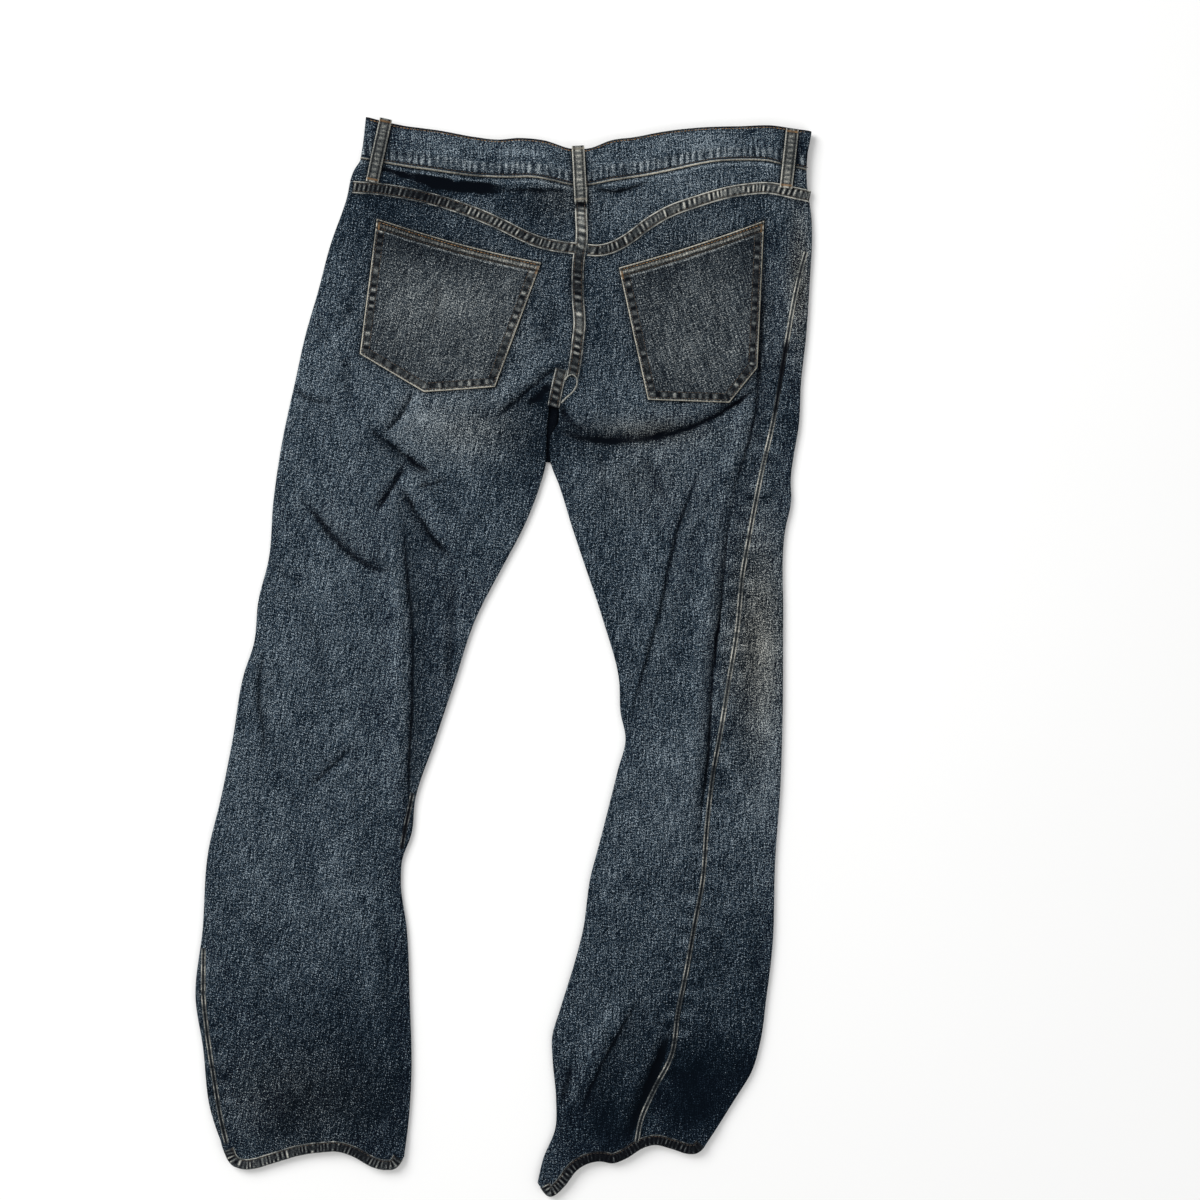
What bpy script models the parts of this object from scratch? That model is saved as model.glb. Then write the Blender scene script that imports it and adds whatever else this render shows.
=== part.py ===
"""Tapered five-pocket jeans, laid flat on a surface with the seat side up.

Every length is in millimetres until a mesh is made. Places are measured on a layout mat:
across to the right from its left edge, and down from its top edge. The waist is at the top.
A "rise" is a height above the surface that the jeans lie on.
"""
import math

import bmesh
import bpy
import numpy as np
from mathutils import Vector
from mathutils.bvhtree import BVHTree

MM = 0.001

# Where the middle of the garment lies on the mat. The part's own origin is there, on the surface.
MIDDLE_ACROSS = 503.5
MIDDLE_DOWN = 657.0

# Driving sizes
DENIM = 1.3                # one layer of washed stretch denim with its nap
BAND_WALL = 2.5            # waistband: two layers and their turned edges
HEM_WALL = 2.6             # leg hem: turned twice
SEAM_GAP = 0.3             # between pieces that are sewn together
LAID_GAP = 0.5             # under a piece that lies on another
HEM_DEPTH = 13.0           # width of the turned hem
FELL_WIDTH = 11.5          # width of a flat-felled seam
FELL_RISE = 0.9            # how far it stands up
LOOP_WIDTH = 12.5          # belt loop
LOOP_WALL = 1.7
POCKET_WALL = 1.3
FOLD_RADIUS = 2.6          # bend of one layer at the garment's edge
THICK_RADIUS = 3.5         # the same at the waistband and the hems
BODY_THICK = 5.8           # two layers that lie on each other
BAND_THICK = 7.2           # the same at the waistband
HEM_THICK = 7.4            # the same at the hems
FRONT_LIFT = 2.6           # the front waistband lies on its button and loops
FRONT_DIP = 26.0           # the front waist lies this much lower than the back's at its middle
SWELL = 26.0               # how far in from an edge the layers reach their full thickness
MOUTH_WIDTH = 90.0         # front pocket mouth, along the waistband
FLY_WIDTH = 38.0
BUTTON_RADIUS = 8.5
BUTTON_THICK = 2.2
CROTCH_DOWN = 406.0
FRONT_MIDDLE = 587.0
FACING_TIP = 0.9           # a cut-away corner narrows to this
BACK_COLUMNS = 19
FRONT_COLUMNS = 11

# Outlines: how far down, how far across
OUTER_LEFT = [
    (117, 366), (150, 362), (158, 360.5), (170, 354), (200, 346), (245, 330), (290, 318),
    (335, 305), (380, 295), (440, 282), (500, 273), (560, 268), (600, 258), (645, 253),
    (672, 244), (740, 232), (800, 220), (850, 208), (930, 202), (1000, 195), (1045, 202),
    (1115, 211), (1144, 221),
]
OUTER_RIGHT = [
    (117, 812), (132, 811.5), (155, 807.5), (185, 807), (215, 811.5), (290, 809.5), (335, 806.5),
    (380, 801.5), (430, 798.5), (455, 794), (480, 791), (500, 791.5), (530, 785.5), (620, 783.5),
    (710, 783), (790, 780.5), (860, 775.5), (950, 772.5), (1000, 766.5), (1045, 760), (1072, 752),
    (1100, 735), (1130, 716), (1145, 706),
]
SEAT_SEAM = [
    (117, 586), (240, 587), (256, 585), (283, 583), (306, 584), (326, 585.5), (349, 583),
    (366, 580), (375, 574), (384, 563), (396, 559), (406, 554),
]
INNER_LEFT = [
    (406, 549), (430, 547), (450, 546.5), (465, 545.5), (485, 540), (530, 522), (560, 506),
    (620, 475), (680, 455), (740, 435), (800, 415), (835, 411), (860, 402), (880, 400.5),
    (930, 406.5), (1000, 409.5), (1080, 411), (1125, 408), (1157, 404),
]
INNER_RIGHT = [
    (406, 559), (424, 557.5), (434, 551), (450, 549.5), (463, 551), (485, 559), (530, 573),
    (560, 583), (620, 603), (680, 619), (712, 620.5), (740, 625.5), (770, 618), (845, 599),
    (875, 591), (935, 582), (965, 574), (1010, 560), (1038, 552), (1060, 552.5), (1100, 556),
    (1130, 555), (1160, 543), (1183, 537.5),
]
# Seams that lie in from the garment's edge: how far down, how far in.
# The right leg is turned, so that its outseam lies on top and its inseam beneath.
OUTSEAM_LEFT_IN = [(150, 0), (930, 0), (980, 4), (1026, 7.5), (1060, 9), (1120, 11), (1146, 9)]
OUTSEAM_RIGHT_IN = [
    (150, 0), (262, 0), (272, 0.6), (300, 12), (331, 16), (380, 20.5), (430, 27.5), (466, 30),
    (514, 35), (571, 41.5), (631, 47.5), (703, 59), (774, 68), (825, 71.5), (882, 73.5), (925, 80),
    (968, 83.5), (1012, 87), (1055, 85.5), (1090, 88), (1120, 81), (1145, 69),
]
INSEAM_RIGHT_IN = [(150, 0), (430, 0), (560, 20), (740, 58), (900, 66), (1150, 60), (1183, 60)]
# Long folds that the panels' grids follow
FOLD_LEFT = [
    (187, 430), (300, 424), (430, 408), (493, 401), (563, 406), (612, 411), (700, 412),
    (765, 405), (850, 380), (960, 330), (1144, 318),
]
FOLD_RIGHT = [
    (187, 766), (222, 766), (300, 762), (385, 758), (418, 755), (455, 745), (490, 735),
    (530, 728), (571, 724), (617, 720), (662, 714), (703, 711), (764, 707.5), (815, 701),
    (882, 695), (945, 684), (1000, 674), (1055, 660), (1086, 648), (1115, 636), (1148, 629),
]

# Edges and seams that run across: how far across, how far down
WAIST_TOP = [
    (366, 117.5), (395, 125), (440, 131.5), (476, 138), (497, 140.5), (520, 139), (545, 141.5),
    (571, 149.5), (588, 149.5), (612, 141), (634, 138), (663, 132.5), (698, 128.5), (740, 127),
    (772, 126.5), (790, 129), (812, 132),
]
WAIST_SEAM = [
    (350, 156), (383, 162), (406, 166), (440, 170), (473, 174), (506, 175.5), (534, 175.5),
    (554, 179), (572, 183.5), (588, 183.5), (612, 179), (646, 175), (680, 168), (698, 164),
    (715, 161), (741, 159.5), (767, 160.5), (784, 164.5), (812, 171),
]
YOKE_LEFT = [
    (350, 181), (380, 183.5), (406, 188), (440, 196), (473, 207), (506, 221), (522, 229),
    (539, 236), (556, 240), (587, 244),
]
YOKE_RIGHT = [
    (587, 244), (600, 244.5), (612, 241.5), (629, 232.5), (646, 219.5), (663, 209), (698, 195.5),
    (732, 186), (749, 183.5), (767, 182.5), (792, 187), (812, 191),
]
HEM_LEFT = [
    (221, 1144), (228, 1160), (241, 1168.5), (254, 1168.5), (270, 1164), (300, 1155),
    (320, 1152), (340, 1151.5), (355, 1157), (371, 1166), (386, 1169.5), (397, 1167), (404, 1157),
]
HEM_RIGHT = [
    (537.5, 1183), (548, 1196), (563, 1187.5), (576, 1170.5), (587, 1163.5), (600, 1161),
    (613, 1163), (628, 1157), (641, 1148.5), (654, 1144.5), (672, 1148.5), (689, 1153.5),
    (698, 1152.5), (706, 1145),
]
# Back pockets: the top edge's ends, then the lower edge's ends with its corner between them
BACK_POCKETS = {
    "left": dict(top=[(377, 219), (541, 263)], bow=3, low=[(360, 354), (424, 392), (495, 387)], corner=0.5),
    "right": dict(top=[(619, 268), (764, 221)], bow=2, low=[(648, 400), (729, 403), (757, 368)], corner=0.66),
}
# Belt loops: the middles of both ends
BACK_LOOPS = [
    ("belt_loop_back_left", (386.5, 120), (372.5, 183)),
    ("belt_loop_back_middle", (578, 147), (581, 203)),
    ("belt_loop_back_right", (792, 130), (785.5, 189)),
]
FRONT_LOOPS = [("belt_loop_front_left", 492), ("belt_loop_front_right", 684)]

# Creases and folds. The plus side is below one that runs right, and left of one that runs down.
FOLDS = [
    # name, points, depth, width, lift on the plus side, lift on the minus side, reach
    ("seat", [(560, 424), (600, 438), (645, 439), (690, 428), (735, 407), (757, 388)], 3.0, 5.5, 0.8, 4.0, 17),
    ("under_band_left", [(386, 170), (423, 179), (456, 187), (489, 190), (516, 188), (545, 189)], 3.2, 7, 1.6, 0.0, 16),
    ("under_band_right", [(590, 189), (612, 191), (630, 187), (650, 181)], 2.2, 4.5, 1.2, 0.0, 10),
    ("thigh_hook", [(412, 394), (406, 406), (397, 419), (381, 436)], 1.8, 3.4, 0.8, 1.0, 9),
    ("thigh_diagonal", [(374, 431), (389, 444), (403, 454), (417, 465), (432, 474)], 3.2, 4.2, 0.8, 2.6, 12),
    ("thigh_branch", [(408, 461), (399, 478), (389, 495), (379, 510)], 2.8, 4.0, 1.0, 1.6, 11),
    ("thigh_tick", [(421, 484), (447, 480)], 1.4, 3.5, 0.6, 0.6, 8),
    ("thigh_slash", [(401, 492), (417, 515), (431, 536), (442, 547), (452, 553)], 2.8, 4.4, 0.6, 2.6, 13),
    ("left_long", [(401, 490), (405, 528), (406, 563), (411, 612), (412, 700), (409, 765), (409, 815), (405, 850)],
     3.0, 3.2, 4.2, -0.6, 13),
    ("thigh_smile", [(324, 526), (337, 542), (353, 556), (369, 567), (398, 573)], 2.4, 6.0, 0.8, 2.4, 14),
    ("hip_dent", [(296, 392), (319, 402), (334, 402)], 1.4, 5.0, 0.9, 0.8, 11),
    ("hip_trough", [(348, 356), (346, 380), (350, 408)], 1.4, 9.0, 0.8, 0.6, 18),
    ("calf_edge", [(264, 667), (259, 689), (260, 712), (263, 730), (260, 753)], 1.4, 4.0, 1.0, 0.5, 9),
    ("calf_scratch", [(353, 747), (337, 762), (323, 774), (310, 789)], 1.2, 2.6, 0.6, 0.8, 8),
    ("crotch_left", [(568, 362), (548, 371), (529, 386), (514, 402), (500, 417)], 2.8, 4.5, 2.0, 0.8, 12),
    ("crotch_pit", [(546, 384), (542, 396), (530, 403)], 2.6, 5.0, 0.6, 0.4, 9),
    ("crotch_right", [(562, 404), (566, 415), (575, 425)], 2.0, 5.0, 0.4, 1.0, 10),
    ("right_long", [(703, 462), (692, 491), (678, 529), (669, 567), (661, 606), (651, 643), (636, 699), (629, 724)],
     2.6, 3.0, 0.4, 2.6, 11),
    ("outseam_pleat", [(765, 236), (762, 300), (758, 385), (755, 418), (745, 455), (735, 490), (728, 530), (724, 571),
                       (720, 617), (714, 662), (711, 703), (707.5, 764), (701, 815), (695, 882), (690, 915)],
     2.6, 2.6, 3.2, -0.4, 13),
    ("ankle_left", [(637, 1001), (624, 1025), (607, 1055), (592, 1086), (581, 1114)], 2.4, 5.5, 2.2, 1.2, 14),
    ("ankle_right", [(661, 1040), (655, 1062), (645, 1090), (634, 1117), (628, 1141)], 2.6, 4.5, 3.4, 0.8, 14),
    ("ankle_tick", [(571, 1077), (563, 1100)], 1.4, 4.0, 0.8, 0.8, 9),
    ("hip_dimple", [(788, 340), (784, 356), (779, 376)], 1.6, 6.0, 0.6, 0.6, 10),
]
# Soft swells: across, down, rise, half width, half length
SWELLS = [
    (450, 300, 1.4, 60, 60), (690, 310, 1.4, 50, 60), (470, 430, 1.2, 40, 28), (640, 405, 1.6, 50, 22),
    (330, 470, 1.2, 30, 50), (610, 500, 1.0, 32, 50), (345, 650, 1.6, 40, 70), (660, 800, 1.2, 30, 70),
    (300, 900, 1.0, 50, 70), (640, 960, 1.2, 30, 50), (335, 1130, 1.6, 34, 34), (588, 1140, 1.2, 14, 30),
    (664, 1120, 1.4, 22, 34), (760, 650, 1.0, 14, 80), (520, 160, 0.8, 24, 20), (700, 150, 0.8, 30, 20),
]


def curve(rows):
    """The smooth line through a table's rows, as a function from its first column to its second."""
    at, value = np.array(rows, float).T
    slope = np.gradient(value, at)

    def line(where):
        where = np.clip(np.asarray(where, float), at[0], at[-1])
        i = np.clip(np.searchsorted(at, where) - 1, 0, len(at) - 2)
        span = at[i + 1] - at[i]
        f = (where - at[i]) / span
        ease = f * f * (3 - 2 * f)
        bend = f * (1 - f) * span * (slope[i] * (1 - f) - slope[i + 1] * f)
        return value[i] * (1 - ease) + value[i + 1] * ease + bend

    return line


outer_left, outer_right = curve(OUTER_LEFT), curve(OUTER_RIGHT)
seat_seam = curve(SEAT_SEAM)
inner_left, inner_right = curve(INNER_LEFT), curve(INNER_RIGHT)


def inner_of(leg_line, down):
    """The seat seam above the crotch and the leg's inner edge below it."""
    return np.where(down < CROTCH_DOWN, seat_seam(down), leg_line(down))


def smooth(f):
    f = np.clip(f, 0, 1)
    return f * f * (3 - 2 * f)


def through(points, parts):
    """A smooth route through a fold's points, cut into that many parts a span."""
    p = np.array(points, float)
    length = np.concatenate([[0], np.cumsum(np.hypot(*np.diff(p, axis=0).T))])
    across, down = curve(np.c_[length, p[:, 0]]), curve(np.c_[length, p[:, 1]])
    at = np.linspace(0, length[-1], parts * (len(p) - 1) + 1)
    return np.c_[across(at), down(at)]


def from_route(route, across, down):
    """The signed distance to a route, and the share of the route at which the nearest point lies."""
    best = np.full(across.shape, 1e9)
    signed, share = np.zeros(across.shape), np.zeros(across.shape)
    for i, (a, b) in enumerate(zip(route[:-1], route[1:])):
        run = b - a
        px, py = across - a[0], down - a[1]
        f = np.clip((px * run[0] + py * run[1]) / (run @ run), 0, 1)
        distance = np.hypot(px - f * run[0], py - f * run[1])
        nearer = distance < best
        side = np.where(run[0] * py - run[1] * px >= 0, 1.0, -1.0)
        best = np.where(nearer, distance, best)
        signed = np.where(nearer, distance * side, signed)
        share = np.where(nearer, (i + f) / (len(route) - 1), share)
    return signed, share


def fold_rise(across, down):
    """What the creases, folds and swells add to the top face."""
    rise = np.zeros(across.shape)
    for _, points, depth, width, lift_plus, lift_minus, reach in FOLDS:
        distance, share = from_route(through(points, 4), across, down)
        fade = smooth((share + 0.04) / 0.2) * smooth((1.04 - share) / 0.24)
        far = (distance / reach) ** 2
        lift = np.where(distance > 0, lift_plus, lift_minus) * far * np.exp(1 - far)
        rise += fade * (lift - depth * np.exp(-((distance / width) ** 2)))
    for at_across, at_down, swell, half_width, half_length in SWELLS:
        rise += swell * np.exp(-(((across - at_across) / half_width) ** 2 + ((down - at_down) / half_length) ** 2))
    return rise


def seam_rise(across, down):
    """The raised bands of the flat-felled seams, which stand below the yoke seam and left of the seat seam."""
    rise = np.zeros(across.shape)
    left = across < seat_seam(down)
    yoke = np.where(left, curve(YOKE_LEFT)(across), curve(YOKE_RIGHT)(across))
    below = down - yoke
    rise += FELL_RISE * smooth((below + 0.5) / 1.0) * smooth((FELL_WIDTH + 1.5 - below) / 2.5)
    beside = seat_seam(down) - across
    band = smooth((beside + 0.5) / 1.0) * smooth((FELL_WIDTH + 1.0 - beside) / 2.5)
    rise = np.maximum(rise, FELL_RISE * band * smooth((CROTCH_DOWN - 8 - down) / 20))
    return rise


def hem_share(across, down):
    """1 on the turned hems and 0 above them."""
    left = across < 475
    edge = np.where(left, curve(HEM_LEFT)(across), curve(HEM_RIGHT)(across))
    return smooth((down - edge + HEM_DEPTH + 14) / 14)


def front_seam(across):
    """How far down the front waist seam lies, underneath."""
    left, right = WAIST_SEAM[0], WAIST_SEAM[-1]
    f = np.clip((np.asarray(across, float) - left[0]) / (right[0] - left[0]), 0, 1)
    return left[1] + (right[1] - left[1]) * f + FRONT_DIP * np.sin(math.pi * f)


def front_top(across):
    """How far down the front waistband's top edge lies."""
    left, right = WAIST_TOP[0], WAIST_TOP[-1]
    f = np.clip((np.asarray(across, float) - left[0]) / (right[0] - left[0]), 0, 1)
    return left[1] + (right[1] - left[1]) * f + FRONT_DIP * np.sin(math.pi * f)


def layers(across, down):
    """The laid garment at a place on the mat.

    Returns (under face, top face, lean): the faces' rises, and how far the wall leans out sideways,
    from 0 on the flat to 1 at a rolled edge, with its sign telling left from right.
    """
    across, down = np.asarray(across, float), np.asarray(down, float)
    in_left, in_right = inner_of(inner_left, down), inner_of(inner_right, down)
    left = across <= (in_left + in_right) / 2
    outer = np.maximum(np.where(left, across - outer_left(down), outer_right(down) - across), 0)
    inner = np.maximum(np.where(left, in_left - across, across - in_right), 0)
    parted = smooth((down - 396) / 26)          # the legs part at the crotch

    band = 1 - smooth((down - curve(WAIST_SEAM)(across)) / 28)
    hem = hem_share(across, down)
    radius = FOLD_RADIUS + (THICK_RADIUS - FOLD_RADIUS) * np.maximum(band, hem)
    under = FRONT_LIFT * (1 - smooth((down - front_seam(across) - 14) / 30))
    thick = BODY_THICK + (BAND_THICK - BODY_THICK) * band + (HEM_THICK - BODY_THICK) * hem

    outer_turn, inner_turn = (1 - np.clip(distance / radius, 0, 1) for distance in (outer, inner))
    inner_turn = inner_turn * parted
    turn = np.maximum(outer_turn, inner_turn)
    roll = np.sqrt(1 - turn**2)
    swell = smooth((outer - radius) / SWELL) * (1 - parted + parted * smooth((inner - radius) / SWELL))
    top = under + radius * (1 + roll) + (thick - 2 * radius) * swell
    # A crease goes down no further than the layer beneath
    wall = DENIM + (HEM_WALL - DENIM) * hem + (BAND_WALL - DENIM) * band
    room = np.maximum(top - under - 2 * wall - LAID_GAP, 0.05)
    clear = np.minimum(outer, np.where(parted > 0.02, inner, 99))
    added = fold_rise(across, down) * smooth(clear / 9)
    added = np.where(added < 0, room * np.tanh(added / room), added)
    top = top + added + seam_rise(across, down) * roll
    apart = SEAM_GAP / 2 * turn
    lean = turn * np.where((outer_turn > inner_turn) == left, -1.0, 1.0)
    return under + radius * (1 - roll) - apart, top + apart, lean


def faces_at(across, down, beneath, wall):
    """(outer points, inner points) of a wall at places on the mat, on the top face or beneath."""
    under, top, lean = layers(across, down)
    outside = np.stack([across, down, np.where(beneath, under, top)], axis=-1)
    upright = np.sqrt(1 - lean**2) * np.where(beneath, -1.0, 1.0)
    out = np.stack([lean, np.zeros_like(lean), upright], axis=-1)
    return outside, outside - wall * out


# ---- meshes ----

def paint(name, colour, roughness, metallic=0.0):
    material = bpy.data.materials.new(name)
    material.use_nodes = True
    shader = material.node_tree.nodes["Principled BSDF"]
    shader.inputs["Base Color"].default_value = (*colour, 1)
    shader.inputs["Roughness"].default_value = roughness
    shader.inputs["Metallic"].default_value = metallic
    return material


def to_part(points):
    """Mat millimetres to the part's own metres."""
    points = np.asarray(points, float)
    return np.stack(
        [points[..., 0] - MIDDLE_ACROSS, MIDDLE_DOWN - points[..., 1], points[..., 2]], axis=-1
    ) * MM


def cloth(name, outside, inside, material):
    """A closed wall between two grids of points, with a rim round their edge."""
    rows, columns = outside.shape[:2]
    made = bmesh.new()
    outer = [[made.verts.new(p) for p in row] for row in to_part(outside)]
    inner = [[made.verts.new(p) for p in row] for row in to_part(inside)]
    for r in range(rows - 1):
        for c in range(columns - 1):
            made.faces.new((outer[r][c], outer[r][c + 1], outer[r + 1][c + 1], outer[r + 1][c]))
            made.faces.new((inner[r][c], inner[r + 1][c], inner[r + 1][c + 1], inner[r][c + 1]))
    around = [(0, c) for c in range(columns - 1)] + [(r, columns - 1) for r in range(rows - 1)]
    around += [(rows - 1, c) for c in range(columns - 1, 0, -1)] + [(r, 0) for r in range(rows - 1, 0, -1)]
    for (r, c), (s, d) in zip(around, around[1:] + around[:1]):
        made.faces.new((outer[s][d], outer[r][c], inner[r][c], inner[s][d]))
    bmesh.ops.recalc_face_normals(made, faces=made.faces)
    mesh = bpy.data.meshes.new(name)
    made.to_mesh(mesh)
    made.free()
    mesh.shade_smooth()
    mesh.set_sharp_from_angle(angle=math.radians(50))
    mesh.materials.append(material)
    piece = bpy.data.objects.new(name, mesh)
    bpy.context.collection.objects.link(piece)
    return piece


def stations(bands):
    """Row places from a table of (start, end, rows)."""
    found = [np.linspace(start, end, rows, endpoint=False) for start, end, rows in bands]
    return np.concatenate([*found, [bands[-1][1]]])


LEG_ROWS = stations([
    (0.0, 0.012, 1), (0.012, 0.2, 8), (0.2, 0.43, 13), (0.43, 0.68, 8), (0.68, 0.86, 5),
    (0.86, 0.974, 4), (0.974, 0.984, 1), (0.984, 1.0, 2),
])
TURNED_ROWS = 3                             # the last rows are the turned hem
YOKE_ROWS = np.linspace(0, 1, 5)
CROTCH_ROW = 8                              # the leg's row that meets the crotch
MOUTH_ROW = 8                               # the front's row at which the pocket mouth ends
FLY_ROW = 10

# Where a leg's panels start and end: how far down, at the outer and at the inner edge
LEGS = {
    "left": dict(outer=outer_left, inner=inner_left, hem=HEM_LEFT, yoke=YOKE_LEFT, fold=FOLD_LEFT,
                 outseam=OUTSEAM_LEFT_IN, inseam=[(150, 0), (1200, 0)],
                 waist=(156.0, 183.5), seam=(182.5, 244.0), end=(1146.0, 1157.0)),
    "right": dict(outer=outer_right, inner=inner_right, hem=HEM_RIGHT, yoke=YOKE_RIGHT, fold=FOLD_RIGHT,
                  outseam=OUTSEAM_RIGHT_IN, inseam=INSEAM_RIGHT_IN,
                  waist=(171.0, 183.5), seam=(191.0, 244.0), end=(1145.0, 1183.0)),
}
RULED = 1e6                                 # a reach that bends every row towards a line alike
BEND_LENGTH = (math.pi / 2 - 1) * FOLD_RADIUS     # what a bend adds to the girth


def to_girth(inward):
    """The girth, along the cloth, of a place that far in from a rolled edge."""
    inward = np.asarray(inward, float)
    turned = FOLD_RADIUS * np.arccos(1 - np.clip(inward / FOLD_RADIUS, 0, 1))
    return np.where(inward < FOLD_RADIUS, turned, inward + BEND_LENGTH)


def from_edge(girth):
    """The reverse: how far in from a rolled edge."""
    turned = FOLD_RADIUS * (1 - np.cos(np.clip(girth / FOLD_RADIUS, 0, math.pi / 2)))
    return np.where(girth < math.pi / 2 * FOLD_RADIUS, turned, girth - BEND_LENGTH)


def seam_in(table, down):
    return np.maximum(curve(table)(down), 0)


def half_gap(inward):
    """A seam on a face has its gap across. At the garment's edge the gap is between the layers."""
    return SEAM_GAP / 2 * smooth(inward / 2.0)


class Leg:
    """One leg's laid tube.

    Girth runs along the cloth from the outer edge, over the top to the inner edge at "whole",
    and on beneath. It is a minus beneath the outer edge.
    """

    def __init__(self, side, outer_down, inner_down):
        self.shape = LEGS[side]
        self.outer_down, self.inner_down = outer_down, inner_down
        self.outer_at = self.shape["outer"](outer_down)
        self.inner_at = inner_of(self.shape["inner"], inner_down)
        self.width = np.abs(self.inner_at - self.outer_at)
        self.whole = self.width + 2 * BEND_LENGTH
        self.outseam = seam_in(self.shape["outseam"], outer_down)
        self.inseam = seam_in(self.shape["inseam"], inner_down)
        fold = np.abs(curve(self.shape["fold"])(outer_down) - self.outer_at)
        self.fold = to_girth(np.clip(fold, 0, self.width - 20))
        self.joined = inner_down < CROTCH_DOWN - 0.1        # both legs' panels meet in the seat seam

    def columns(self, start, end, count, crowds):
        """Girths from start to end in each row, closer where crowds (girths, width, weight) say."""
        found = []
        for r, (a, b) in enumerate(zip(start, end)):
            fine = np.linspace(a, b, 400)
            density = np.ones(400)
            for at, width, weight in crowds:
                density += weight * np.exp(-(((fine - at[r]) / width) ** 2))
            total = np.concatenate([[0], np.cumsum((density[1:] + density[:-1]) / 2)])
            found.append(np.interp(np.linspace(0, total[-1], count), total, fine))
        return np.array(found)

    def places(self, girth, lines=(None, None), settle=(60.0, 30.0)):
        """(across, down, beneath), with the first and last rows bent to meet the lines."""
        whole = self.whole[:, None]
        beneath = (girth <= 0) | (girth > whole)
        if girth[-1, -1] > 0:
            beneath &= girth != 0           # a back panel's edge is its own, not the front's
        over = np.where(girth < 0, -girth, np.where(girth > whole, 2 * whole - girth, girth))
        share_outer = from_edge(over) / self.width[:, None]
        share_inner = 1 - from_edge(whole - over) / self.width[:, None]
        share = np.where(over < whole / 2, share_outer, share_inner)
        across = self.outer_at[:, None] * (1 - share) + self.inner_at[:, None] * share
        down = self.outer_down[:, None] * (1 - share) + self.inner_down[:, None] * share
        straight = down.copy()
        share = (straight - straight[0]) / (straight[-1] - straight[0])
        for line, row, reach, rest in zip(lines, (0, -1), settle, (1 - share, share)):
            if line is not None:
                miss = line(across[row]) - straight[row]
                down = down + np.exp(-np.abs(straight - straight[row]) / reach) * rest * miss
        return across, down, beneath


def leg_downs(side):
    """How far down each of a leg's rows is, at its outer and its inner edge. One row meets the crotch."""
    (outer_start, inner_start), (outer_end, inner_end) = LEGS[side]["seam"], LEGS[side]["end"]
    at_crotch = LEG_ROWS[CROTCH_ROW]
    above = inner_start + (CROTCH_DOWN - inner_start) * LEG_ROWS / at_crotch
    below = CROTCH_DOWN + (inner_end - CROTCH_DOWN) * (LEG_ROWS - at_crotch) / (1 - at_crotch)
    outer = outer_start + (outer_end - outer_start) * LEG_ROWS
    return outer, np.where(LEG_ROWS < at_crotch, above, below)


def yoke_downs(side, gap=SEAM_GAP):
    """The same for the rows between the waist seam and the yoke seam."""
    shape = LEGS[side]
    return [a + gap / 2 + (b - a - gap) * YOKE_ROWS for a, b in zip(shape["waist"], shape["seam"])]


def front_downs(side):
    """A front panel's rows: beside the yoke and then beside the back panel."""
    outer, inner = leg_downs(side)
    beside_yoke, _ = yoke_downs(side)
    waist = float(front_seam(FRONT_MIDDLE))
    inner_first = waist + (inner[0] - waist) * YOKE_ROWS
    return np.concatenate([beside_yoke[:-1], outer]), np.concatenate([inner_first[:-1], inner])


def wall_rows(count, turned=0):
    """The wall at each row, with the turned hem at the end."""
    return np.where(np.arange(count) < count - turned, DENIM, HEM_WALL)[:, None, None]


def back_ends(leg):
    start = to_girth(leg.outseam + half_gap(leg.outseam))
    end = np.where(leg.joined, leg.whole - to_girth(SEAM_GAP / 2),
                   leg.whole + to_girth(np.maximum(leg.inseam - half_gap(leg.inseam), 0)))
    return start, end


def back_columns(leg):
    start, end = back_ends(leg)
    return leg.columns(start, end, BACK_COLUMNS, [
        (0 * leg.whole, 3, 4), (leg.whole, 4, 6), (leg.fold, 8, 4), (leg.fold, 60, 1),
    ])


def back_panel(side, denim):
    shape = LEGS[side]
    leg = Leg(side, *leg_downs(side))
    lines = (lambda a: curve(shape["yoke"])(a) + SEAM_GAP / 2, curve(shape["hem"]))
    across, down, beneath = leg.places(back_columns(leg), lines)
    faces = faces_at(across, down, beneath, wall_rows(len(LEG_ROWS), TURNED_ROWS))
    return cloth(f"back_{side}", *faces, denim)


def top_shares(side):
    """The back panel's columns at the yoke seam, as shares. The yoke and the waistband keep them."""
    leg = Leg(side, *leg_downs(side))
    return back_columns(leg)[0] / leg.whole[0]


def yoke(side, denim):
    leg = Leg(side, *yoke_downs(side))
    girth = top_shares(side) * leg.whole[:, None]
    waist, seam = curve(WAIST_SEAM), curve(LEGS[side]["yoke"])
    across, down, beneath = leg.places(girth, (lambda a: waist(a) + SEAM_GAP / 2, lambda a: seam(a) - SEAM_GAP / 2),
                                       (RULED, RULED))
    return cloth(f"yoke_{side}", *faces_at(across, down, beneath, DENIM), denim)


def front_cuts(leg):
    """How far in the pocket mouth and the fly's edge lie, for each row."""
    cuts = []
    for downs, last, width in ((leg.outer_down, MOUTH_ROW, MOUTH_WIDTH), (leg.inner_down, FLY_ROW, FLY_WIDTH)):
        share = np.clip((downs - downs[0]) / (downs[last] - downs[0]), 0, 1)
        cuts.append(width * np.sqrt(1 - share**2))
    return cuts


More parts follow.
